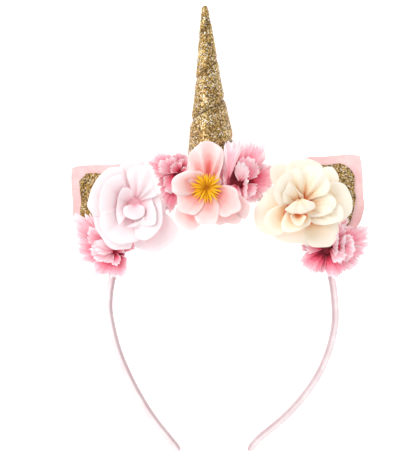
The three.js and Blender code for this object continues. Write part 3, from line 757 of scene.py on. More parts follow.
@dataclass(frozen=True)
class Horn:
    """The stuffed cone of glitter cloth, pinched by a wound thread. Sizes are in millimetres."""

    band: Band
    length: float = 103.4
    radius: float = 14.0
    tuck: float = 12.0
    tuck_share: float = 0.44
    offset: float = -4.5
    lean: float = 2.7
    pitch: float = 22.0
    pinch_depth: float = 1.5
    pinch_width: float = 1.9
    pinch_start: float = 0.37
    crease_depth: float = 0.5
    crease_width: float = 0.65
    flat: float = 0.5
    pucker: float = 0.22
    puckers: float = 15.0
    rings: int = 220
    sides: int = 120
    shape_up: tuple[float, ...] = (0, 0.25, 0.345, 0.44, 0.54, 0.69, 0.865, 1)
    shape_wide: tuple[float, ...] = (1, 0.9, 0.81, 0.685, 0.56, 0.42, 0.26, 0.115)

    @property
    def foot(self) -> float:
        """Where the horn's foot is along Y."""
        return self.band.rise - self.band.thickness / 2

    def half_width(self, height: np.ndarray | float) -> np.ndarray:
        """The half width that the table gives at a height over the foot."""
        return smooth_table(np.asarray(height) / self.length, self.shape_up, self.shape_wide) * self.radius

    @property
    def rest_slope(self) -> float:
        """How steeply the table falls away under the band's plane."""
        drop = float(self.half_width(self.tuck)) - self.flat - self.band.depth / 2
        return drop / (self.foot + self.tuck + self.band.arm_drop)

    def table_height(self, y: np.ndarray | float) -> np.ndarray:
        """The height of the table's top under the band's plane."""
        return -self.band.depth / 2 - self.rest_slope * (np.asarray(y) + self.band.arm_drop)

    def from_pinch(self, height: np.ndarray, angle: np.ndarray) -> np.ndarray:
        """How far along the horn the nearest turn of the thread is."""
        turns = height / self.pitch + angle / TURN - self.pinch_start
        return (turns - np.round(turns)) * self.pitch

    def radius_at(self, height: np.ndarray, angle: np.ndarray) -> np.ndarray:
        """The half width, less a bell-shaped groove and a narrow crease at the thread, with puckers beside it.

        The foot is drawn in along a sine, and the tip is rounded along a circle.

        Args:
            height: over the foot.
            angle: round the horn.

        Returns:
            The radius.
        """
        half = self.half_width(height)
        share = half / self.radius
        tuck = self.tuck_share + (1 - self.tuck_share) * np.sin(math.pi / 2 * np.clip(height / self.tuck, 0, 1))
        tip_radius = float(self.half_width(self.length))
        from_tip = (self.length - height) / tip_radius
        tip = np.sqrt(np.maximum(0.03, 1 - np.maximum(0, 1 - from_tip) ** 2))
        away = self.from_pinch(height, angle)
        groove = self.pinch_depth * np.exp(-((away / self.pinch_width) ** 2)) * share
        groove = groove + self.crease_depth * np.exp(-((away / self.crease_width) ** 2)) * share
        puckers = np.sin(self.puckers * angle + 3 * np.sin(height / 5)) * np.exp(-((away / 4.5) ** 2))
        swell = 0.5 * share * (np.cos(away / self.pitch * TURN + math.pi) - 1) * -0.5
        return (half * tuck - groove - self.pucker * share * puckers + swell * 0.6) * tip

    def points_at(self, height: np.ndarray, angle: np.ndarray, radius: np.ndarray) -> np.ndarray:
        """Puts a radius at a height and angle into the band's frame, leaning to the left."""
        lean = math.radians(self.lean)
        across = radius * np.cos(angle)
        x = self.offset + across * math.cos(lean) - height * math.sin(lean)
        y = self.foot + height * math.cos(lean) + across * math.sin(lean)
        return np.stack(np.broadcast_arrays(x, y, radius * np.sin(angle)), axis=-1)

    def clear(self, points: np.ndarray, margin: float, upwards: float = 4.0) -> np.ndarray:
        """Moves points that are inside the horn out to its cloth, mostly towards its front.

        Args:
            points: any points in the band's frame.
            margin: how far outside the cloth they end.
            upwards: how far the way out is turned to the front.

        Returns:
            The points, moved where they had to be.
        """
        lean = math.radians(self.lean)
        x, y, z = points[..., 0] - self.offset, points[..., 1] - self.foot, points[..., 2]
        height = -x * math.sin(lean) + y * math.cos(lean)
        across = x * math.cos(lean) + y * math.sin(lean)
        room = self.half_width(height) + margin
        room = room * np.clip((self.length - height) / 6, 0, 1)
        inside = (np.hypot(across, z) < room) & (height > -margin) & (height < self.length)
        angle = np.arctan2(z + upwards, across)
        moved = self.points_at(height, angle, np.maximum(room, 0.1))
        return np.where(inside[..., None], moved, points)

    def body(self) -> Body:
        """The cone's cloth, laid on the table at its back and hollowed over the crown at its foot.

        Returns:
            The closed body, with the distance from the thread as its value, which darkens the thread's line as painted
            crease shade.
        """
        share = np.linspace(0, 1, self.rings)[:, None]
        height = self.length * share
        angle = (np.arange(self.sides) / self.sides * TURN)[None, :]
        points = self.points_at(height, angle, self.radius_at(height, angle))
        room = self.band.thickness / 2 + self.band.clearance
        inside = np.clip(1 - (points[..., 0] / (self.band.half_span + room)) ** 2, 0, 1)
        points[..., 1] = np.maximum(points[..., 1], (self.band.rise + room) * np.sqrt(inside))
        points[..., 2] = np.maximum(points[..., 2], self.table_height(points[..., 1]) + 0.05)
        # The thread's line, which the glitter darkens as painted crease shade.
        thread = np.exp(-((self.from_pinch(height, angle) / 0.55) ** 2))
        return tube(points, {"thread": thread})

    def make(self, placement: Placement, glitter: bpy.types.Material) -> bpy.types.Object:
        """Builds and dresses the horn."""
        piece = build_object("stuffed_horn", self.body(), placement)
        dress_piece(piece, "gold_glitter", glitter, "horn")
        return piece


@dataclass(frozen=True)
class Ear:
    """A felt ear behind the crown with a glitter lining on its front. Sizes are in millimetres."""

    side: Side
    at: float
    points: float
    horn: Horn
    length: float = 54.0
    half_width: float = 25.0
    thickness: float = 2.0
    overlap: float = 2.4
    curl: float = 3.0
    lining_thickness: float = 0.6
    lining_margin: float = 4.6
    lining_tip: float = 9.0
    lining_round: float = 9.0
    rows: int = 64
    columns: int = 41
    shape_along: tuple[float, ...] = (0, 0.04, 0.28, 0.37, 0.55, 0.66, 0.8, 0.9, 1)
    shape_across: tuple[float, ...] = (0, 0.13, 0.64, 0.84, 0.99, 1, 0.84, 0.56, 0.4)

    def half_width_at(self, along: np.ndarray, inset: float) -> np.ndarray:
        """Half the ear's width at a share of its length, moved in square to its edge."""

        def half(share: np.ndarray) -> np.ndarray:
            return smooth_table(share, self.shape_along, self.shape_across) * self.half_width

        step = self.thickness / self.length
        before, after = np.clip(along - step, 0, 1), np.clip(along + step, 0, 1)
        steepness = (half(after) - half(before)) / ((after - before) * self.length)
        return np.maximum(0.4, half(along) - inset * np.hypot(1, steepness))

    def surface(self, inset: float, lift: float) -> np.ndarray:
        """The ear's middle surface, from its tip to its foot behind the crown.

        The table gives the half width, which for the lining is at most a circle's at its tip. The
        sheet falls evenly from the band to the table, and
        its sides curl forward with the square of their distance from the middle.

        Args:
            inset: how far its edge is moved in.
            lift: how far it is moved forward.

        Returns:
            Rows by columns by 3.
        """
        band = self.horn.band
        v = (1 - np.cos(np.linspace(0, math.pi, self.rows))[:, None]) / 2
        u = np.linspace(-1, 1, self.columns)[None, :]
        reach = self.lining_tip if inset else 0.0
        bottom = 1 - (self.overlap + band.thickness + band.clearance * 2) / self.length if inset else 1.0
        along = reach / self.length + (bottom - reach / self.length) * v
        half = self.half_width_at(along, inset)
        if inset:
            half = np.minimum(half, 0.4 + np.sqrt(2 * self.lining_round * (along * self.length - reach)))
        across = u * half
        aim = math.radians(self.points)
        outward = np.array([math.cos(aim), math.sin(aim)])
        from_band = self.length * (1 - along) - self.overlap - band.thickness / 2
        foot = band.crown_point(self.at)[:2]
        flat = foot + outward * from_band[..., None] + np.array([-outward[1], outward[0]]) * across[..., None]
        low = -band.depth / 2 - band.clearance - self.thickness / 2
        tip_y = foot[1] + outward[1] * (self.length - self.overlap - band.thickness / 2)
        tip = float(self.horn.table_height(tip_y)) + self.thickness / 2 + band.clearance / 10
        share = np.maximum(0, from_band - band.thickness / 2) / (self.length - self.overlap - band.thickness)
        up = low + (tip - low) * share + self.curl * (across / self.half_width) ** 2 * share + lift
        return np.concatenate([flat, np.broadcast_to(up, across.shape)[..., None]], axis=-1)

    def make(self, placement: Placement, felt: bpy.types.Material, glitter: bpy.types.Material) -> None:
        """Builds and dresses the ear and its lining."""
        name = self.side.value
        ear = build_object(f"felt_ear_{name}", shell(self.surface(0, 0), self.thickness, {}), placement, crease=50)
        bevel = ear.modifiers.new("soft edge", "BEVEL")
        bevel.width, bevel.segments, bevel.angle_limit = 0.0007, 3, math.radians(50)
        dress_piece(ear, "pink_felt", felt, f"ear_{name}")
        lift = self.thickness / 2 + self.horn.band.clearance + self.lining_thickness / 2
        surface = self.surface(self.lining_margin, lift)
        lining = build_object(f"glitter_lining_{name}", shell(surface, self.lining_thickness, {}), placement, crease=50)
        dress_piece(lining, "gold_glitter", glitter, f"ear_lining_{name}")


# ---- Flowers ----------------------------------------------------------------------------------


@dataclass(frozen=True)
class Fold:
    """A groove that runs up a petal.

    Args:
        place: where it runs, from -1 at the first side to 1 at the last.
        depth: how deep it is in millimetres, below nought for a ridge.
        width: how wide it is, as a share of half the petal.
        lean: how far it moves sideways on its way up.
    """

    place: float
    depth: float
    width: float = 0.12
    lean: float = 0.0


@dataclass(frozen=True)
class Petal:
    """One petal or ruffled fan.

    Args:
        rim: the rim's points from side to side, each a direction round the head in degrees and a
            distance from the head's axis in millimetres.
        rise: its slope at the foot, in degrees.
        lay: its slope at the rim, in degrees.
        seat: how far from the foot's middle it starts.
        foot: where the foot's middle stands from the head's axis, and how far its claw lifts it.
        cup: how far its sides stand up.
        twist: how far one side lies over the other.
        curl: how far its rim rolls back.
        tone: how far pale colours reach down from its rim, from -1 for the least to 0.4; a low tone gives some petals
            deeper dye and paints shade on petals that lie in shadow.
        ripple: how far its rim ripples.
        folds: its grooves and ridges.
        ends: how far out the rim starts and stops, as a share of its first and last points.
        pleats: how many pleats it has, and how deep they are at the rim.
        teeth: how many pointed teeth its rim has.
    """

    rim: tuple[tuple[float, float], ...]
    rise: float
    lay: float
    seat: float = 6.0
    foot: tuple[float, float, float] = (0.0, 0.0, 0.0)
    cup: float = 1.3
    twist: float = 0.7
    curl: float = 0.1
    tone: float = 0.0
    ripple: float = 0.45
    folds: tuple[Fold, ...] = ()
    ends: float = 0.55
    pleats: tuple[float, float] = (0.0, 0.0)
    teeth: int = 0


@dataclass(frozen=True)
class Layer:
    """A layer of petals, and the radius of the disc that they are stitched to."""

    name: str
    disc: float
    petals: tuple[Petal, ...]


@dataclass(frozen=True)
class Head:
    """Where a flower's head stands: its calyx's end and the way that it faces."""

    name: str
    at: float
    out: float
    root: float
    stem: float
    nod: float
    band: Band

    @property
    def origin(self) -> np.ndarray:
        """The calyx's end: the crown's point, moved out and up."""
        point = self.band.crown_point(self.at) + self.band.crown_outward(self.at) * self.out
        return point + np.array([0, 0, self.band.front + self.band.clearance + self.stem])

    @property
    def axis(self) -> np.ndarray:
        """The way that the flower faces: up, leaning outwards by the nod."""
        nod = math.radians(self.nod)
        return self.band.crown_outward(self.at) * math.sin(nod) + np.array([0, 0, math.cos(nod)])

    def to_band(self, points: np.ndarray) -> np.ndarray:
        """Turns points from the head's own frame to the band's, the shortest way from +Z to the axis."""
        turn = np.array(Vector((0, 0, 1)).rotation_difference(Vector(self.axis)).to_matrix())
        return points @ turn.T + self.origin


@dataclass(frozen=True)
class PetalShape:
    """What all petals share. Sizes are in millimetres."""

    slot_thickness: float = 1.0
    clearance: float = 0.3
    cloth: float = 0.2
    tooth: float = 0.14
    scallop: float = 0.028
    wave: float = 0.012
    claw: float = 0.18
    rows: int = 26
    columns: int = 37
    columns_per_tooth: int = 6

    def layer_height(self, index: int) -> float:
        """The height of a layer's middle over the calyx, counted from the back."""
        return self.clearance + self.slot_thickness / 2 + index * (self.slot_thickness + self.clearance)

    def rim(self, petal: Petal, u: np.ndarray) -> tuple[np.ndarray, np.ndarray, float]:
        """The rim, read from its points along a smooth curve by the distance run between them.

        Args:
            petal: the petal.
            u: where to read, from -1 to 1.

        Returns:
            The ways from the foot's middle to the rim, the distances and the rim's length.
        """
        turn, reach = np.radians([a for a, _ in petal.rim]), np.array([r for _, r in petal.rim])
        foot = np.array(petal.foot[:2])
        knots = np.stack([reach * np.cos(turn), reach * np.sin(turn)], axis=-1) - foot
        knots = np.concatenate([knots[:1] * petal.ends, knots, knots[-1:] * petal.ends])
        run = np.concatenate([[0], np.cumsum(np.linalg.norm(np.diff(knots, axis=0), axis=1))])
        place = (u + 1) / 2 * run[-1]
        points = np.stack([smooth_table(place, run, knots[:, k]) for k in range(2)], axis=-1)
        far = np.linalg.norm(points, axis=-1)
        return points / far[:, None], far, float(run[-1])

    def surface(
        self, petal: Petal, height: float, rng: np.random.Generator
    ) -> tuple[np.ndarray, dict[str, np.ndarray]]:
        """One petal in the head's frame.

        On each line from the foot to the rim the petal is an arc from the rise to the lay. It is
        then lifted along its normal: with the square of the place across for its cup, evenly
        across for its twist, by cosines for pleats and ripples that grow towards the rim, and
        lowered by bell-shaped grooves and by its curl. Teeth are cut with a saw-shaped wave.

        Args:
            petal: the petal.
            height: the layer's height.
            rng: where its ripples' phases come from.

        Returns:
            Rows by columns by 3, and the values that its finish reads.
        """
        phases = rng.uniform(0, TURN, 6)
        tone = petal.tone + rng.uniform(-0.03, 0.03)
        columns = petal.teeth * self.columns_per_tooth + 1 if petal.teeth else self.columns
        line = np.linspace(-1, 1, columns)
        u, v = line[None, :], np.linspace(0, 1, self.rows)[:, None]
        way, far, length = self.rim(petal, line)
        far = far * (1 + self.wave * (np.sin(5 * line + phases[0]) + 0.7 * np.sin(12 * line + phases[1]) - 0.9))
        spread = (line + 1) / 2 + 0.03 * np.sin(7 * line + phases[4])
        saw = np.abs(spread * max(petal.teeth, 1) % 1 - 0.5) * 2
        uneven = np.clip(0.7 + 0.3 * np.sin(9 * line + phases[4]) + 0.35 * np.sin(25 * line + phases[5]), 0.35, 1.2)
        count, deep = petal.pleats
        wave = np.cos(count * math.pi * line + phases[2])
        notch = self.tooth * saw * uneven + self.scallop * (1 - wave) if petal.teeth else np.zeros(columns)
        reach = np.maximum(far[None, :] * (1 - notch[None, :] * v**4), petal.seat + 0.4)
        out, up, slope = rise_line(petal.seat, reach, petal.rise, petal.lay, v)
        groove = sum(
            (f.depth * np.exp(-(((u - f.place - f.lean * (v - 0.5)) / f.width) ** 2)) for f in petal.folds),
            start=np.zeros((self.rows, columns)),
        ) * np.minimum(1, 3 * v) * (1 - 0.55 * v**3)
        pleat = np.cos(count * math.pi * u + phases[2]) + 0.5 * np.sin(2.3 * count * math.pi * u + phases[3])
        ripple = np.sin(3.4 * u + phases[2]) + 0.6 * np.sin(7.3 * u + phases[3]) * v
        lift = (
            petal.cup * u**2 * v
            + petal.twist * u * np.sqrt(v)
            + deep * v**1.2 * pleat
            + petal.ripple * v**2 * ripple
            - groove
            - petal.curl * np.clip((v - 0.75) / 0.25, 0, 1) ** 2
        )
        distance = out - lift * np.sin(slope)
        up = up + petal.foot[2] * np.minimum(1, v / self.claw)
        points = np.concatenate(
            [distance[..., None] * way[None], (height + up + lift * np.cos(slope))[..., None]], axis=-1
        )
        full = (self.rows, columns)
        values = {
            "reach": np.broadcast_to(v, full),
            "across": np.broadcast_to(u * length / 20 + phases[0], full),
            "tone": np.full(full, tone),
            # The fold value paints shade in grooves and pleat hollows, and a painted highlight on ridges.
            "painted_fold_shading": np.clip(groove * 0.35, -0.5, 1) + (0.5 - 0.5 * pleat) * min(1.0, 1.2 * deep) * 0.35,
        }
        return points + np.array([*petal.foot[:2], 0.0]), values

    def disc(self, radius: float, height: float, thickness: float = 0.7) -> Body:
        """A round disc at a layer's middle, to which its petals are stitched."""
        angle = np.arange(24) / 24 * TURN
        rings = [(radius * 0.9, -thickness / 2), (radius, 0.0), (radius * 0.9, thickness / 2)]
        points = np.stack(
            [np.stack([r * np.cos(angle), r * np.sin(angle), np.full(24, height + z)], axis=-1) for r, z in rings]
        )
        zero = np.zeros(points.shape[:2])
        return tube(points, {name: zero for name in ("reach", "across", "tone", "painted_fold_shading")})


def bounded(bodies: Iterable[Body], head: Head, horn: Horn) -> Body:
    """Joins a head's bodies and puts them into the band's frame, clear of the horn.

    Rims are given as a photograph taken from in front has them. So each point is drawn in towards
    the picture's middle by its height as a share of the camera's distance, and moved back by as
    much as the head's nod moves it.
    """
    body = Body.joined(list(bodies))
    points = head.to_band(body.points)
    height = points[:, 2:]
    nearness = np.clip(height, 0, None) / (PHOTO_DISTANCE - height)
    points[:, :2] -= (points[:, :2] - np.array(PHOTO_CENTRE)) * nearness * PHOTO_DRAW
    points[:, :2] -= (height - head.origin[2]) * head.axis[:2] / head.axis[2]
    body.points = horn.clear(points, 0.5)
    return body


def layer_body(layer: Layer, shape: PetalShape, height: float, rng: np.random.Generator) -> Body:
    """A layer's disc and petals as one body in the head's frame."""
    bodies = [shape.disc(layer.disc, height)] if layer.disc else []
    for petal in layer.petals:
        points, values = shape.surface(petal, height, rng)
        bodies.append(shell(points, shape.cloth, values))
    return Body.joined(bodies)


@dataclass(frozen=True)
class Calyx:
    """The cup that carries a flower's head, from the band's front to the petals. Sizes are in mm."""

    foot_radius: float
    head_radius: float
    rings: int = 14
    sides: int = 32

    def make(self, head: Head, placement: Placement, material: bpy.types.Material) -> bpy.types.Object:
        """Builds and dresses a calyx.

        Its centre goes from the root to the head with the square of the height, its rings turn
        to the head's axis, and its radius grows evenly, with five shallow ribs.

        Args:
            head: the head that it carries.
            placement: where the band's plane lies.
            material: its finish.

        Returns:
            The piece.
        """
        band = head.band
        foot = band.crown_point(head.root) + np.array([0, 0, band.front + band.clearance])
        share = np.linspace(0, 1, self.rings)[:, None]
        angle = (np.arange(self.sides) / self.sides * TURN)[None, :]
        swell = np.sin(share * math.pi) * 0.12
        radius = self.foot_radius + (self.head_radius - self.foot_radius) * (share + swell * share)
        radius = radius * (1 - 0.05 * share * (1 - np.cos(5 * angle)) / 2)
        centre = foot + (head.origin - foot) * np.concatenate([share**2, share**2, share], axis=-1)
        axis = np.array([0, 0, 1.0]) * (1 - share) + head.axis * share
        axis = axis / np.linalg.norm(axis, axis=-1, keepdims=True)
        right = np.array([1.0, 0, 0]) - axis * axis[:, :1]
        right = right / np.linalg.norm(right, axis=-1, keepdims=True)
        ahead = np.cross(axis, right)
        spokes = right[:, None] * np.cos(angle)[..., None] + ahead[:, None] * np.sin(angle)[..., None]
        points = centre[:, None] + spokes * radius[..., None]
        piece = build_object(f"{head.name}_cup", tube(points, {"reach": share}), placement, crease=50)
        return dress_piece(piece, "calyx_plastic", material, f"{head.name}_calyx")


@dataclass(frozen=True)
class Rose:
    """A rose: layers of petals round a folded heart."""

    head: Head
    layers: tuple[Layer, ...]
    slot: str
    finish: PetalFinish
    seed: int
    shape: PetalShape = PetalShape()

    def make(self, placement: Placement, horn: Horn) -> None:
        """Builds and dresses the rose's pieces."""
        material = self.finish.material()
        rng = np.random.default_rng(self.seed)
        for index, layer in enumerate(self.layers):
            body = layer_body(layer, self.shape, self.shape.layer_height(index), rng)
            name = f"{self.head.name}_{layer.name}"
            piece = build_object(name + "_cloth", bounded([body], self.head, horn), placement, levels=1)
            dress_piece(piece, self.slot, material, name)


@dataclass(frozen=True)
class Blossom:
    """An open blossom: two layers of petals and a star of stamens."""

    head: Head
    layers: tuple[Layer, ...]
    finish: PetalFinish
    stamen_finish: PlasticFinish
    seed: int = 5
    stamens: int = 38
    stamen_reach: float = 8.3
    stamen_thickness: float = 1.5
    shape: PetalShape = PetalShape(wave=0.045)

    def stamen_body(self, height: float) -> Body:
        """The stamens: tapered spikes that leave a small dome and bend outwards.

        Each spike follows an arc whose slope falls from its own rise, its thickness shrinks to
        a point, and its length and rise are drawn at random from the seed.

        Args:
            height: where they stand.

        Returns:
            All spikes and the dome as one body.
        """
        rng = np.random.default_rng(self.seed)
        share = np.linspace(0, 1, 12)[:, None]
        around = (np.arange(8) / 8 * TURN)[None, :]
        bodies = []
        for number in range(self.stamens):
            turn = TURN * (number / self.stamens) + rng.uniform(-0.07, 0.07)
            rise = rng.uniform(58, 72) if number % 2 else rng.uniform(34, 48)
            length = self.stamen_reach * rng.uniform(0.92, 1.16)
            out, up, slope = rise_line(0.6, np.asarray(length), rise, rise - 34, share)
            thick = self.stamen_thickness * (0.5 + 0.12 * np.sin(share * 3)) * (1 - share**1.6 * 0.82)
            ahead = out - np.sin(slope) * np.sin(around) * thick
            sideways = np.cos(around) * thick
            points = np.stack(
                [
                    ahead * math.cos(turn) - sideways * math.sin(turn),
                    ahead * math.sin(turn) + sideways * math.cos(turn),
                    height + up + np.cos(slope) * np.sin(around) * thick,
                ],
                axis=-1,
            )
            bodies.append(tube(points, {"reach": share}))
        polar = np.linspace(0.02, 1, 9)[:, None] * math.pi / 2
        grid = np.stack(
            [2.0 * np.sin(polar) * np.cos(around), 2.0 * np.sin(polar) * np.sin(around),
             height + 1.9 * np.cos(polar) + 0 * around],
            axis=-1,
        )
        bodies.append(tube(grid, {"reach": np.zeros(1)}))
        return Body.joined(bodies)

    def make(self, placement: Placement, horn: Horn) -> None:
        """Builds and dresses the blossom's pieces."""
        material = self.finish.material()
        rng = np.random.default_rng(self.seed)
        for index, layer in enumerate(self.layers):
            petals = layer_body(layer, self.shape, self.shape.layer_height(index), rng)
            name = f"{self.head.name}_{layer.name}"
            piece = build_object(name + "_cloth", bounded([petals], self.head, horn), placement, levels=1)
            dress_piece(piece, "peach_petal", material, name)
        body = bounded([self.stamen_body(self.shape.layer_height(len(self.layers)))], self.head, horn)
        piece = build_object(f"{self.head.name}_star", body, placement, levels=1)
        dress_piece(piece, "stamen", self.stamen_finish.material(), f"{self.head.name}_stamens")


@dataclass(frozen=True)
class Carnation:
    """A carnation: three ruffles of pleated fans with pinked rims.

    Fans that the photograph shows are given. The rest of each ruffle is filled with fans whose
    reach grows towards the flower's far side with a power of the cosine.
    """

    head: Head
    size: float
    far: float
    extra: float
    seed: int
    fans: dict[str, tuple[Petal, ...]]
    filled: dict[str, tuple[float, ...]]
    radius: float = 18.0
    sharpness: float = 3.0
    half_fan: float = 38.0
    ruffle_sizes: tuple[float, float, float] = (1.0, 0.8, 0.48)
    ruffle_seats: tuple[float, float, float] = (4.6, 3.2, 1.8)
    shape: PetalShape = PetalShape(cloth=0.3, rows=18)

    def filler(self, turn: float, index: int) -> Petal:
        """A fan that fills a ruffle at a direction where the photograph shows none.

        Args:
            turn: the direction, in degrees.
            index: the ruffle's number, from the back.

        Returns:
            The fan.
        """
        angle = turn + np.linspace(-self.half_fan, self.half_fan, 7)
        nearness = (1 + np.cos(np.radians(angle - self.far))) / 2
        size = self.ruffle_sizes[index]
        lobe = 1 + self.extra * size**2 * nearness**self.sharpness
        round_off = 1 - 0.16 * np.linspace(-1, 1, 7) ** 2
        reach = self.radius * self.size * size * lobe * round_off
        rim = tuple(zip(angle.tolist(), reach.tolist()))
        return fan(rim, (26.0, 40.0, 52.0)[index], (4.0, 16.0, 30.0)[index], seat=self.ruffle_seats[index] - 0.8)

    def make(self, placement: Placement, horn: Horn, material: bpy.types.Material) -> None:
        """Builds and dresses the carnation's pieces."""
        rng = np.random.default_rng(self.seed)
        for index, ruffle in enumerate(("outer_ruffle", "middle_ruffle", "inner_ruffle")):
            fillers = tuple(self.filler(turn, index) for turn in self.filled.get(ruffle, ()))
            layer = Layer(ruffle, self.ruffle_seats[index], fillers + self.fans.get(ruffle, ()))
            body = layer_body(layer, self.shape, self.shape.layer_height(index), rng)
            name = f"{self.head.name}_{ruffle}"
            piece = build_object(name + "_cloth", bounded([body], self.head, horn), placement, crease=60)
            dress_piece(piece, "pink_petal", material, name)


def fan(
    rim: tuple[tuple[float, float], ...],
    rise: float,
    lay: float,
    seat: float = 3.4,
    foot: tuple[float, float, float] = (0.0, 0.0, 0.0),
    tone: float = 0.0,
    depth: float = 0.55,
    cup: float = 0.6,
    folds: tuple[Fold, ...] = (),
) -> Petal:
    """A pleated fan with a tooth every 1.6 mm of its rim and a pleat every 4 mm.

    Args:
        rim: as in Petal.
        rise: as in Petal.
        lay: as in Petal.
        seat: as in Petal.
        foot: as in Petal.
        tone: as in Petal.
        depth: how deep its pleats are.
        cup: as in Petal.
        folds: as in Petal.

    Returns:
        The fan as a petal.
    """
    turn, reach = np.radians([a for a, _ in rim]), np.array([r for _, r in rim])
    points = np.stack([reach * np.cos(turn), reach * np.sin(turn)], axis=-1)
    length = float(np.linalg.norm(np.diff(points, axis=0), axis=1).sum())
    return Petal(
        rim, rise, lay, seat, foot, cup=cup, twist=0.9, curl=0.2, tone=tone, ripple=0.4, folds=folds,
        ends=0.62, pleats=(max(2.0, length / 8), depth), teeth=max(6, round(length / 1.6)),
    )


BLUSH_LAYERS = (
    Layer("outer_petals", 7.4, (
        Petal(((116, 20), (108, 23.5), (98, 26), (90, 27), (82, 26.9), (75, 23.5), (66, 19)), 30, -4, foot=(0, 0, -0.3)),
        Petal(((24, 15.5), (5, 16.5), (-10, 18), (-22, 19)), 30, -4),
        # Painted shade: a low tone darkens this lower right outer petal, which lies in shadow.
        Petal(((-88, 23.5), (-76, 26.6), (-66, 29.2), (-56, 29.6), (-45, 30), (-36, 29.3), (-28, 28.2), (-21, 24), (-15, 19)),
              30, -8, tone=-0.8, cup=1.6, folds=(Fold(-0.35, 0.5), Fold(0.3, 0.4))),
        Petal(((268, 23.5), (260, 25.5), (250, 26.7), (238, 26.3), (225, 25), (212, 24.3), (200, 23.2), (190, 21.5)),
              33, -6, folds=(Fold(0.2, 0.6),)),
        Petal(((198, 21.5), (190, 23.5), (180, 25.5), (165, 25.2), (150, 24.5), (135, 24.6), (120, 23.6), (108, 21.5)),
              36, -4, foot=(0, 0, 0.4), folds=(Fold(-0.2, 0.5, 0.1, 0.1),)),
    )),
    Layer("middle_petals", 6.0, (
        Petal(((225, 17), (205, 18.5), (185, 18.8), (165, 19), (145, 19.3), (125, 19.5), (112, 18.5)),
              54, 8, 5.0, folds=(Fold(0.3, 0.8, 0.1), Fold(-0.3, 0.5, 0.1))),
        Petal(((-80, 19.5), (-92, 21), (-105, 22.3), (-120, 22.8), (-135, 22.4), (-150, 21.5), (-162, 20)),
              52, 4, 5.0, folds=(Fold(0.1, 0.6, 0.1, 0.1),)),
        Petal(((18, 15.2), (5, 15.6), (-10, 16.6), (-22, 17.8), (-35, 19), (-48, 20), (-60, 20.4), (-74, 20.3), (-86, 18)),
              56, 8, 5.0, foot=(0, 0, 0.5), folds=(Fold(0.0, 0.6, 0.1), Fold(0.45, 0.5, 0.08))),
        Petal(((102, 17.5), (95, 20), (85, 21.3), (75, 22), (66, 21.3), (58, 19.8), (46, 17.2), (34, 15.4), (22, 14.6)),
              62, 16, 1.6, foot=(1.4, 1.6, 0.8),
              folds=(Fold(-0.3, 1.0, 0.08, 0.1), Fold(-0.05, -0.6, 0.08), Fold(0.2, 0.7, 0.08, -0.1), Fold(0.42, -1.0, 0.06),
                     Fold(0.62, 0.7, 0.07))),
    )),
    Layer("inner_petals", 4.6, (
        Petal(((236, 13.5), (215, 11.2), (195, 9.6), (175, 9), (155, 9.4), (135, 10.4), (118, 11.2), (107, 10.2), (92, 7)),
              62, 24, 3.0, cup=0.8, folds=(Fold(0.1, 0.6, 0.12),)),
        Petal(((-84, 10.6), (-74, 11.2), (-64, 12.4), (-54, 14.2), (-43, 16.0), (-30, 15), (-14, 12.9), (2, 11.5), (20, 11), (37, 12.3), (57, 14)),
              60, 16, 3.2, foot=(1.0, 0, 0.2), cup=0.8, folds=(Fold(-0.3, 0.6, 0.1), Fold(0.35, 0.9, 0.09)), tone=-0.1),
    )),
    Layer("bud", 0, (
        Petal(((192, 5.0), (208, 6.4), (226, 7.4), (248, 8.0), (272, 8.3), (296, 8.4), (318, 8.0), (336, 7.0), (352, 5.6)), 56, -6, 0.8,
              foot=(1.2, 0.8, 2.0), cup=0.4, ripple=0.3, ends=0.8, tone=-0.25),
        Petal(((252, 12.6), (264, 10.9), (279, 9.6), (296, 9.0), (312, 8.8)), 58, 6, 1.0, foot=(7.0, -12.5, 2.0), cup=0.6,
              curl=0.5, tone=0.3),
    )),
)
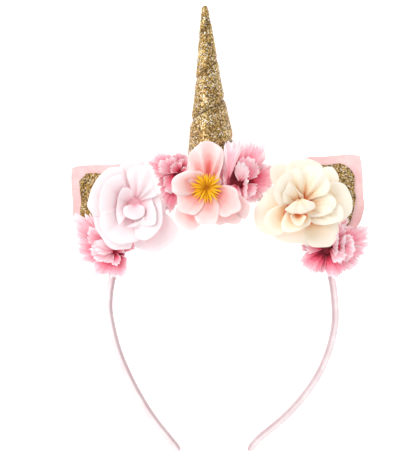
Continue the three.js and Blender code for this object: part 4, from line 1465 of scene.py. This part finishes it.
CREAM_LAYERS = (
    Layer("outer_petals", 7.4, (
        Petal(((108, 22), (116, 25), (124, 27), (132, 27.2), (139, 23.5), (146, 19)), 26, -6, foot=(0, 0, -0.4), tone=0.1),
        Petal(((28, 20), (33, 24), (44, 25.9), (53, 26.1), (60, 23.6), (66, 19.5)), 28, -4, foot=(0, 0, -0.2), tone=-0.22, cup=2.2),
        Petal(((56, 21), (63, 24), (75, 24.9), (90, 25.2), (103, 25.1), (112, 23), (120, 19.5)), 32, -4, folds=(Fold(0.2, 0.5),)),
        Petal(((222, 22.5), (232, 24), (243, 23.2), (256, 22.3), (270, 21.9), (282, 23), (290, 21)), 28, -8, foot=(0, 0, -0.3)),
        Petal(((140, 17), (152, 19.8), (165, 21.5), (175, 23.5), (182, 26), (190, 27.6), (200, 28.4), (211, 27.7), (221, 25.8), (231, 22)),
              31, -8, tone=-0.05, folds=(Fold(0.1, 0.6),)),
        Petal(((-84, 19), (-77, 24), (-68, 25.6), (-58, 27.3), (-47, 26.3), (-35, 24.7), (-27, 22), (-20, 17)),
              30, -2, tone=-0.3, cup=2.0),
        Petal(((-34, 20), (-27, 22.8), (-16, 26.3), (-5, 27.9), (6, 27.8), (17, 26.4), (28, 24.8), (38, 21)),
              34, -6, foot=(0, 0, 0.4), folds=(Fold(0.3, 0.6, 0.1, 0.2),)),
    )),
    Layer("middle_petals", 6.0, (
        Petal(((4, 17.5), (-4, 21.8), (-12, 23.1), (-20, 23), (-30, 20.7), (-42, 17), (-54, 13.6), (-62, 11.5)),
              50, 10, 5.0, folds=(Fold(-0.1, 0.8, 0.08), Fold(0.2, 0.9, 0.07))),
        Petal(((180, 11.5), (186, 15.5), (192, 19.6), (203, 23.2), (213, 23.9), (222, 23), (232, 21.2), (238, 17.5)),
              44, 26, 5.0, cup=3.0, tone=-0.75, curl=0.5),
        Petal(((36, 12.5), (28, 14.8), (18, 16.9), (8, 18.7), (2, 19.1), (-6, 18.3), (-13, 15), (-22, 12)), 54, 12, 4.6,
              foot=(0, 0, 1.4), cup=0.8, folds=(Fold(-0.1, 0.7, 0.1), Fold(0.55, 0.8, 0.08))),
        Petal(((92, 16), (86, 20.5), (80, 22), (68, 23), (58, 22.6), (46, 20.2), (33, 18), (24, 15)),
              58, 12, 2.2, foot=(0, 1.6, 0.3), folds=(Fold(-0.35, 1.4, 0.1, -0.2), Fold(0.1, -1.2, 0.08), Fold(0.3, 1.0, 0.08))),
        Petal(((182, 12.5), (172, 14.5), (158, 17), (148, 18.2), (135, 19.3), (120, 20), (106, 20.3), (96, 20), (89, 17)),
              58, 12, 2.2, foot=(0, 1.6, 0.6), folds=(Fold(0.3, 1.8, 0.1, 0.1), Fold(-0.35, 1.0, 0.08), Fold(0.0, -0.6, 0.1))),
        Petal(((205, 9.5), (212, 12), (222, 15.3), (233, 17.2), (246, 17), (260, 15.2), (272, 13.4), (286, 12.4), (296, 11)),
              60, 40, 4.0, foot=(0, 0, 1.0), cup=1.6, curl=0.4, tone=-0.85),
    )),
    Layer("inner_petals", 4.6, (
        Petal(((178, 8), (170, 10.8), (156, 11.6), (142, 12.2), (130, 13.2), (120, 14.1), (113, 11), (104, 7.8), (80, 5)),
              70, 28, 2.6, cup=0.6, tone=-0.2, folds=(Fold(-0.3, 0.9, 0.09), Fold(0.3, 1.0, 0.1))),
        Petal(((-74, 6.6), (-62, 7.8), (-45, 9.7), (-30, 12.6), (-19, 15.4), (-9, 17), (-2, 14)), 62, 18, 3.4,
              foot=(0, 0, 0.4), cup=0.8, tone=-0.1, folds=(Fold(-0.1, 0.9, 0.08), Fold(0.4, 0.8, 0.07))),
        Petal(((219, 9.3), (231, 10.3), (246, 11.4), (258, 12.1), (268, 11.2), (279, 8.8), (290, 7.2)), 76, 60, 1.0,
              foot=(-2.5, -4.0, -0.4), cup=1.2, curl=0, ripple=0.1, twist=0.1, tone=-0.9),
    )),
    Layer("bud", 0, (
        Petal(((197, 10.6), (210, 8.8), (223, 7.8), (243, 6.0), (260, 5.4), (280, 5.0), (302, 5.2), (330, 6.2), (349, 7.2), (10, 6.6)),
              26, -34, 0.6, foot=(-1.6, 3.8, 9.0), cup=-0.5, ripple=0.25, ends=0.7, tone=0.25,
              folds=(Fold(-0.2, 0.5, 0.12), Fold(0.35, 0.7, 0.1))),
    )),
)
BLOSSOM_LAYERS = (
    Layer("back_petals", 4.8, (
        Petal(((160, 14), (178, 15), (196, 15)), 18, -4, 4.0),
        Petal(((104, 16), (118, 17), (132, 16), (146, 14)), 20, 0, 4.0),
        Petal(((64, 8.5), (48, 9), (32, 9), (16, 8.5)), 20, 4, 4.0),
        # Painted shade: low tones darken the lower back petals that lie behind the front ones.
        Petal(((-46, 22), (-40, 27), (-30, 27.4), (-20, 24.4), (-13, 21), (-6, 16)), 20, 0, 4.0, cup=0.8, tone=-0.45,
              folds=(Fold(0.1, 0.5),)),
        Petal(((-80, 19), (-70, 22.8), (-62, 25.1), (-51, 26.4), (-42, 26.3), (-35, 22)), 19, -2, 4.0, foot=(0, 0, 0.3), cup=0.8, tone=-0.5,
              folds=(Fold(-0.1, 0.5),)),
        Petal(((200, 17), (210, 20.6), (219, 22.8), (228, 24.8), (237, 25.7), (246, 25.8), (254, 24.8), (263, 21.4), (272, 18)),
              20, 0, 4.0, cup=0.8, tone=-0.5, folds=(Fold(0.1, 0.5), Fold(-0.4, 0.4))),
    )),
    Layer("front_petals", 3.6, (
        Petal(((140, 12.5), (131, 16.8), (122, 21.0), (115, 23.3), (107, 24.3), (99, 24.5), (90, 24.8), (83, 25.0), (76, 25.1),
               (70, 24.6), (64, 22.2), (57, 17.6), (50, 13.2), (40, 9.4)),
              40, 2, 3.0, foot=(0, 0, 0.2), cup=1.0, tone=-0.1, ripple=1.0,
              folds=(Fold(0.06, 1.9, 0.15), Fold(-0.15, -2.2, 0.05), Fold(0.27, -2.2, 0.05), Fold(-0.36, 1.1, 0.12), Fold(0.52, 1.0, 0.1))),
        Petal(((92, 8.0), (106, 9.6), (120, 11.4), (132, 13.2), (143, 15.8), (152, 17.4), (163, 18.4), (174, 19.0), (184, 19.1),
               (192, 17), (200, 13.5)), 46, 18, 3.0, foot=(0, 0, 0.5), cup=1.6, curl=2.4, tone=-0.2, folds=(Fold(0.0, 0.9, 0.2),)),
        Petal(((-70, 13.5), (-64, 17), (-56, 19), (-48, 20.4), (-40, 21.8), (-32, 22.4), (-24, 21.6), (-15, 20), (-7, 18), (0, 15.4), (8, 11)),
              36, 8, 3.0, foot=(0, 0, 0.7), cup=1.2, tone=-0.15, folds=(Fold(0.2, 0.6, 0.12), Fold(-0.4, 0.5, 0.1))),
        Petal(((150, 11.5), (164, 14), (177, 15.8), (189, 17.2), (200, 18.6), (211, 20.2), (222, 21.0), (232, 20), (242, 17.6), (250, 14.5), (258, 11)),
              40, 12, 3.0, foot=(0, 0, 1.1), cup=1.4, tone=-0.15, folds=(Fold(-0.1, 0.6, 0.12), Fold(0.4, 0.5, 0.1))),
        Petal(((230, 11.5), (238, 15), (247, 17.6), (256, 19.6), (265, 20.8), (274, 21.0), (283, 20.8), (291, 19), (298, 16), (305, 12)),
              38, 6, 3.0, foot=(0, 0, 1.4), cup=0.8, tone=-0.1, folds=(Fold(0.1, 0.5, 0.12), Fold(-0.35, 0.4, 0.1))),
    )),
)
UPPER_LEFT_FANS = {
    "outer_ruffle": (
        fan(((186, 13.5), (200, 14.2), (213, 15), (230, 17.3), (248, 22.2), (256, 24.5), (262, 20), (268, 14)), 24, -4, tone=-0.28),
        fan(((90, 11.2), (100, 11.2), (112, 11.6), (124, 13), (134, 15.7), (145, 18.3), (153, 19), (161, 20.6), (170, 17.5), (180, 15.6), (192, 14.5)), 30, 2, 3.4),
        fan(((28, 9), (40, 10.2), (52, 10.6), (65, 11.2), (79, 10.6), (93, 11.8), (106, 11.2)), 34, 6, 3.4),
    ),
    "middle_ruffle": (
        fan(((104, 9), (122, 10), (140, 12), (156, 14), (170, 13), (186, 11)), 40, 14, 2.4, tone=0.15),
        fan(((196, 10), (215, 12), (235, 14), (250, 13)), 36, 6, 2.4, tone=-0.2),
    ),
    "inner_ruffle": (fan(((80, 5.5), (105, 6), (130, 6.5), (155, 6.5), (180, 5.8)), 52, 30, 1.2),),
}
UPPER_RIGHT_FANS = {
    "outer_ruffle": (
        fan(((72, 21), (84, 21.5), (96, 20), (108, 17), (120, 13.5)), 24, -2, 3.0, tone=-0.8),
        fan(((30, 16), (39, 21.5), (48, 24.2), (56, 26.3), (63, 26.2), (72, 25.6), (80, 23.5), (90, 21.5)), 26, 2, 3.4),
        fan(((42, 17), (30, 21), (20, 22), (12.8, 22.4), (5, 20.7), (-5, 20), (-20, 16.5), (-41, 15.4), (-52, 14), (-62, 10.5)),
            22, -2, 2.0, foot=(4.2, 1.6, 0.8), tone=-0.06),
    ),
    "middle_ruffle": (
        fan(((20, 12), (36, 15.5), (52, 17), (68, 16.5), (84, 15)), 36, 16, 2.4),
        fan(((82, 22), (89, 24.4), (96, 25.6), (103, 25.4), (110, 21.8), (117, 16.8), (126, 13), (139, 10.4), (156, 9), (176, 8.3), (192, 7.6)),
            58, 4, 1.0, foot=(-5.4, 0.6, 8.0), tone=0.3, depth=0.6, cup=1.2),
    ),
    "inner_ruffle": (
        fan(((34, 8), (50, 10.2), (64, 11.4), (76, 12.8), (88, 12.4), (98, 10), (108, 6.6)), 58, 22, 1.0, foot=(1.0, 0.5, 4.0),
            tone=0.42, depth=0.4),
        fan(((-66, 10.5), (-50, 8.6), (-34, 6.6), (-12, 5.6), (14, 5.8), (38, 6.6)), 56, 24, 1.0, foot=(2.4, -1.5, 3.4), tone=0.42,
            depth=0.4),
        fan(((200, 5.5), (222, 6.6), (244, 7.8), (266, 7.6), (288, 7.0)), 60, 36, 1.0, foot=(0, 0, 1.2), tone=0.1, depth=0.5),
    ),
}
LOWER_LEFT_FANS = {
    "outer_ruffle": (
        fan(((110, 22), (120, 25), (129, 29), (137, 31), (143, 29), (150, 26.7), (156, 25)), 25, 0, 3.4, tone=0.1),
        fan(((146, 25), (152, 25.8), (160, 24.4), (170, 22.5), (178, 21.9), (186, 19.8), (194, 20.3), (201, 17.8), (210, 14)), 27, 0, 3.4, foot=(0, 0, 0.5)),
        fan(((205, 13), (214, 15.9), (221, 17.4), (235, 16.5), (251, 14.4), (260, 15.3), (273, 14.1), (282, 15.4), (298, 14.4), (312, 10.8), (330, 8.4)),
            28, 2, 3.4, foot=(0, 0, 0.9)),
    ),
    "middle_ruffle": (
        fan(((112, 15), (124, 18), (136, 20), (148, 19), (160, 17)), 36, 12, 2.4),
        fan(((150, 13), (162, 14), (175, 14.5), (185, 13.6), (195, 12.9), (207, 12), (222, 9.4), (240, 7.6), (262, 7)),
            46, 18, 2.0, foot=(-0.5, 0.5, 2.2), tone=0.38, depth=0.7),
    ),
    "inner_ruffle": (
        fan(((128, 9), (146, 12), (163, 13), (178, 11), (196, 8)), 54, 22, 1.2, foot=(0, 0, 2.2), tone=0.38, depth=0.6),
        fan(((236, 5.5), (256, 7.4), (276, 8), (296, 7), (316, 5)), 52, 14, 1.2, foot=(0, 0, 0.4), tone=-0.2, depth=0.5),
    ),
}
LOWER_RIGHT_FANS = {
    "outer_ruffle": (
        fan(((38, 18), (46, 18.5), (54, 16.5), (64, 14)), 26, 2, 3.4),
        fan(((186, 9), (196, 14), (205, 17), (212, 17.8), (221, 17.3), (231, 16.7), (245, 16.5), (255, 15.6), (264, 14.8)), 34, 0, 3.4,
            tone=-0.16, depth=0.9),
        fan(((-4, 20.4), (3, 22.8), (11, 23.8), (16.5, 26), (21, 25.7), (27, 26.3), (32, 23.5), (38, 20.5), (46, 17.5)), 25, 2, 3.4, foot=(0, 0, 0.4)),
        fan(((252, 15.4), (262, 15), (273, 16.3), (283, 17.3), (293, 18.3), (305, 17.8), (316, 18.5), (324, 18.6)), 36, 0, 3.4,
            foot=(0, 0, 0.8), tone=-0.16, depth=0.9),
        fan(((306, 16.5), (314, 18), (322, 18.9), (330, 20.4), (339, 19.9), (346, 21.3), (351, 21.9), (358, 20.7), (366, 17)), 26, 2, 3.4, foot=(0, 0, 0.9)),
    ),
    "middle_ruffle": (
        fan(((-52, 12), (-36, 14), (-20, 15), (-4, 15.5), (10, 16), (24, 16), (36, 14)), 38, 16, 2.4, foot=(0, 0, 0.8)),
    ),
    "inner_ruffle": (
        fan(((-44, 6.4), (-22, 6.6), (2, 6.2), (26, 7.4), (44, 9.4), (56, 11)), 56, 30, 1.2, foot=(2.0, 0.5, 3.6), tone=0.42,
            depth=0.5),
        fan(((-34, 11.6), (-20, 10.4), (-6, 9.8), (10, 10.2), (24, 11.8), (36, 13)), 56, 24, 1.2, foot=(6.0, 1.0, 3.0), tone=0.42,
            depth=0.5),
        fan(((-24, 14), (-8, 15.2), (8, 15.6), (22, 15)), 62, 30, 1.2, foot=(8.0, 1.4, 1.6), tone=0.2, depth=0.5),
        fan(((-66, 9), (-50, 11), (-34, 12.4), (-20, 12.6)), 54, 24, 1.2, foot=(1.0, 0, 1.0), tone=0.2, depth=0.6),
    ),
}


@dataclass(frozen=True)
class Studio:
    """The pale floor, the soft lights and the camera over the headband. Lengths are in metres."""

    distance: float = PHOTO_DISTANCE / 1000
    centre: tuple[float, float] = PHOTO_CENTRE
    pixel: float = 0.545
    picture_height: int = 459
    sensor: float = 24.0
    world: float = 0.82
    key: float = 8.8
    fill: float = 2.8
    floor_glow: float = 0.52

    def camera(self, placement: Placement) -> None:
        """Hangs the camera over the picture's middle, square to the band's plane."""
        aim = placement.to_frame(np.array([self.centre[0], self.centre[1], 0.0]))
        high = placement.to_frame(np.array([self.centre[0], self.centre[1], self.distance * 1000]))
        data = bpy.data.cameras.new("camera")
        data.sensor_fit, data.sensor_height = "VERTICAL", self.sensor
        data.lens = self.sensor * self.distance * 1000 / (self.pixel * self.picture_height)
        data.clip_start, data.clip_end = 0.05, 20.0
        camera = bpy.data.objects.new("camera", data)
        camera.location = Vector(high)
        camera.rotation_euler = (math.radians(placement.tilt), 0.0, 0.0)
        bpy.context.collection.objects.link(camera)
        bpy.context.scene.camera = camera
        log.info("camera over %s", np.round(aim, 4).tolist())

    def light(self, name: str, place: tuple[float, float, float], size: float, power: float) -> None:
        """Adds a square soft light that faces the headband."""
        data = bpy.data.lights.new(name, "AREA")
        data.size, data.energy = size, power
        lamp = bpy.data.objects.new(name, data)
        lamp.location = place
        lamp.rotation_euler = Vector(place).to_track_quat("Z", "Y").to_euler()
        bpy.context.collection.objects.link(lamp)

    def make(self, placement: Placement) -> None:
        """Builds the floor, lights and camera."""
        self.camera(placement)
        self.light("key_light", (-0.85, 0.55, 0.8), 0.8, self.key)
        self.light("fill_light", (0.8, -0.5, 1.1), 1.0, self.fill)
        world = bpy.data.worlds.new("studio")
        world.use_nodes = True
        background = world.node_tree.nodes["Background"]
        background.inputs["Color"].default_value = (1, 1, 1, 1)
        background.inputs["Strength"].default_value = self.world
        bpy.context.scene.world = world
        bpy.context.scene.view_settings.view_transform = "Standard"
        half = 3.0
        mesh = bpy.data.meshes.new("floor")
        mesh.from_pydata([(-half, -half, 0), (half, -half, 0), (half, half, 0), (-half, half, 0)], [], [(0, 1, 2, 3)])
        floor = bpy.data.objects.new("floor", mesh)
        bpy.context.collection.objects.link(floor)
        shader = Shader("floor_paper")
        grain = shader.noise(shader.place(1.0), 300.0)
        shader.dress(
            base_color=shader.ramp(grain, [(0.3, "fbfbfb"), (0.7, "fdfdfd")]),
            roughness=0.9,
            emission_color=(1.0, 1.0, 1.0, 1.0),
            emission_strength=self.floor_glow,
        )
        mesh.materials.append(shader.material)


def main() -> None:
    """Builds the headband's pieces in order."""
    logging.basicConfig(level=logging.INFO, format="%(name)s: %(message)s")
    placement = Placement()
    Studio().make(placement)
    band = Band()
    horn = Horn(band)
    glitter = GlitterFinish("gold_glitter").material()
    felt = FeltFinish().material()
    cup = PlasticFinish("calyx_plastic", "cdbfae", "dfd6c6").material()
    throat = PlasticFinish("throat_plastic", "a32048", "c8506e").material()
    band.make(placement)
    horn.make(placement, glitter)
    Ear(Side.LEFT, 137.7, 137.7, horn, lining_tip=7.8, lining_round=15.0).make(placement, felt, glitter)
    Ear(Side.RIGHT, 46.0, 48.4, horn).make(placement, felt, glitter)
    blush = PetalFinish("blush_petal", ((0.04, "f6bdc7"), (0.24, "fad5da"), (0.55, "fae2e6"), (0.9, "fbebee")), "f8d6dc", 0.06)
    cream = PetalFinish("cream_petal", ((0.04, "ee8348"), (0.17, "f8cb9f"), (0.42, "fae6c8"), (0.85, "fbf2e0")), "f3e4c6")
    peach = PetalFinish("peach_petal", ((0.1, "ee7872"), (0.34, "f6aaa7"), (0.66, "facbc8"), (0.95, "fcdfdd")), "f4b5b6")
    pink = PetalFinish(
        "pink_petal", ((0.0, "840a2a"), (0.07, "bc1a42"), (0.24, "e9607f"), (0.5, "f89fb1"), (0.76, "fcc5cf"), (0.95, "fdeaef")), "f0708a",
        0.6, 14.0, painted_fold_shading_weight=0.28, vein_relief=0.25,
    )
    stamen = PlasticFinish("stamen", "d48c0a", "ffcc1e")
    rose_cup = Calyx(3.4, 6.6)
    carnation_cup = Calyx(2.0, 3.6)
    blush_head = Head("blush_rose", 131.7, 11.2, 131.7, 8.2, 0, band)
    cream_head = Head("cream_rose", 51.1, 8.3, 51.1, 8.2, 0, band)
    blossom_head = Head("blossom", 97.4, 2.5, 96.4, 13.2, 2, band)
    Rose(blush_head, BLUSH_LAYERS, "blush_petal", blush, 11).make(placement, horn)
    rose_cup.make(blush_head, placement, cup)
    Rose(cream_head, CREAM_LAYERS, "cream_petal", cream, 23).make(placement, horn)
    rose_cup.make(cream_head, placement, cup)
    Blossom(blossom_head, BLOSSOM_LAYERS, peach, stamen).make(placement, horn)
    Calyx(1.9, 2.0).make(blossom_head, placement, cup)
    ruffled = pink.material()
    carnations = (
        Carnation(
            Head("carnation_upper_left", 107.6, 13.8, 113, 1.6, 0, band), 0.6, 212, 1.2, 31, UPPER_LEFT_FANS,
            {"outer_ruffle": (310.0, 0.0), "middle_ruffle": (60.0, 350.0, 280.0), "inner_ruffle": (20.0, 300.0)},
        ),
        Carnation(
            Head("carnation_upper_right", 82.6, 4.8, 77, 1.8, 0, band), 0.75, 55, 0.95, 32, UPPER_RIGHT_FANS,
            {"outer_ruffle": (150.0, 215.0, 270.0), "middle_ruffle": (320.0, 260.0)},
        ),
        Carnation(
            Head("carnation_lower_left", 153.7, 3.6, 153.7, 1.4, 8, band), 0.72, 138, 1.2, 33, LOWER_LEFT_FANS,
            {"outer_ruffle": (45.0, 90.0), "middle_ruffle": (40.0, 90.0), "inner_ruffle": (30.0, 90.0)},
        ),
        Carnation(
            Head("carnation_lower_right", 28.4, 3.6, 28.4, 1.4, 8, band), 0.92, 25, 0.57, 34, LOWER_RIGHT_FANS,
            {"outer_ruffle": (90.0, 150.0), "middle_ruffle": (80.0, 160.0)},
        ),
    )
    for carnation in carnations:
        carnation.make(placement, horn, ruffled)
        carnation_cup.make(carnation.head, placement, throat)


if __name__ == "__main__":
    main()
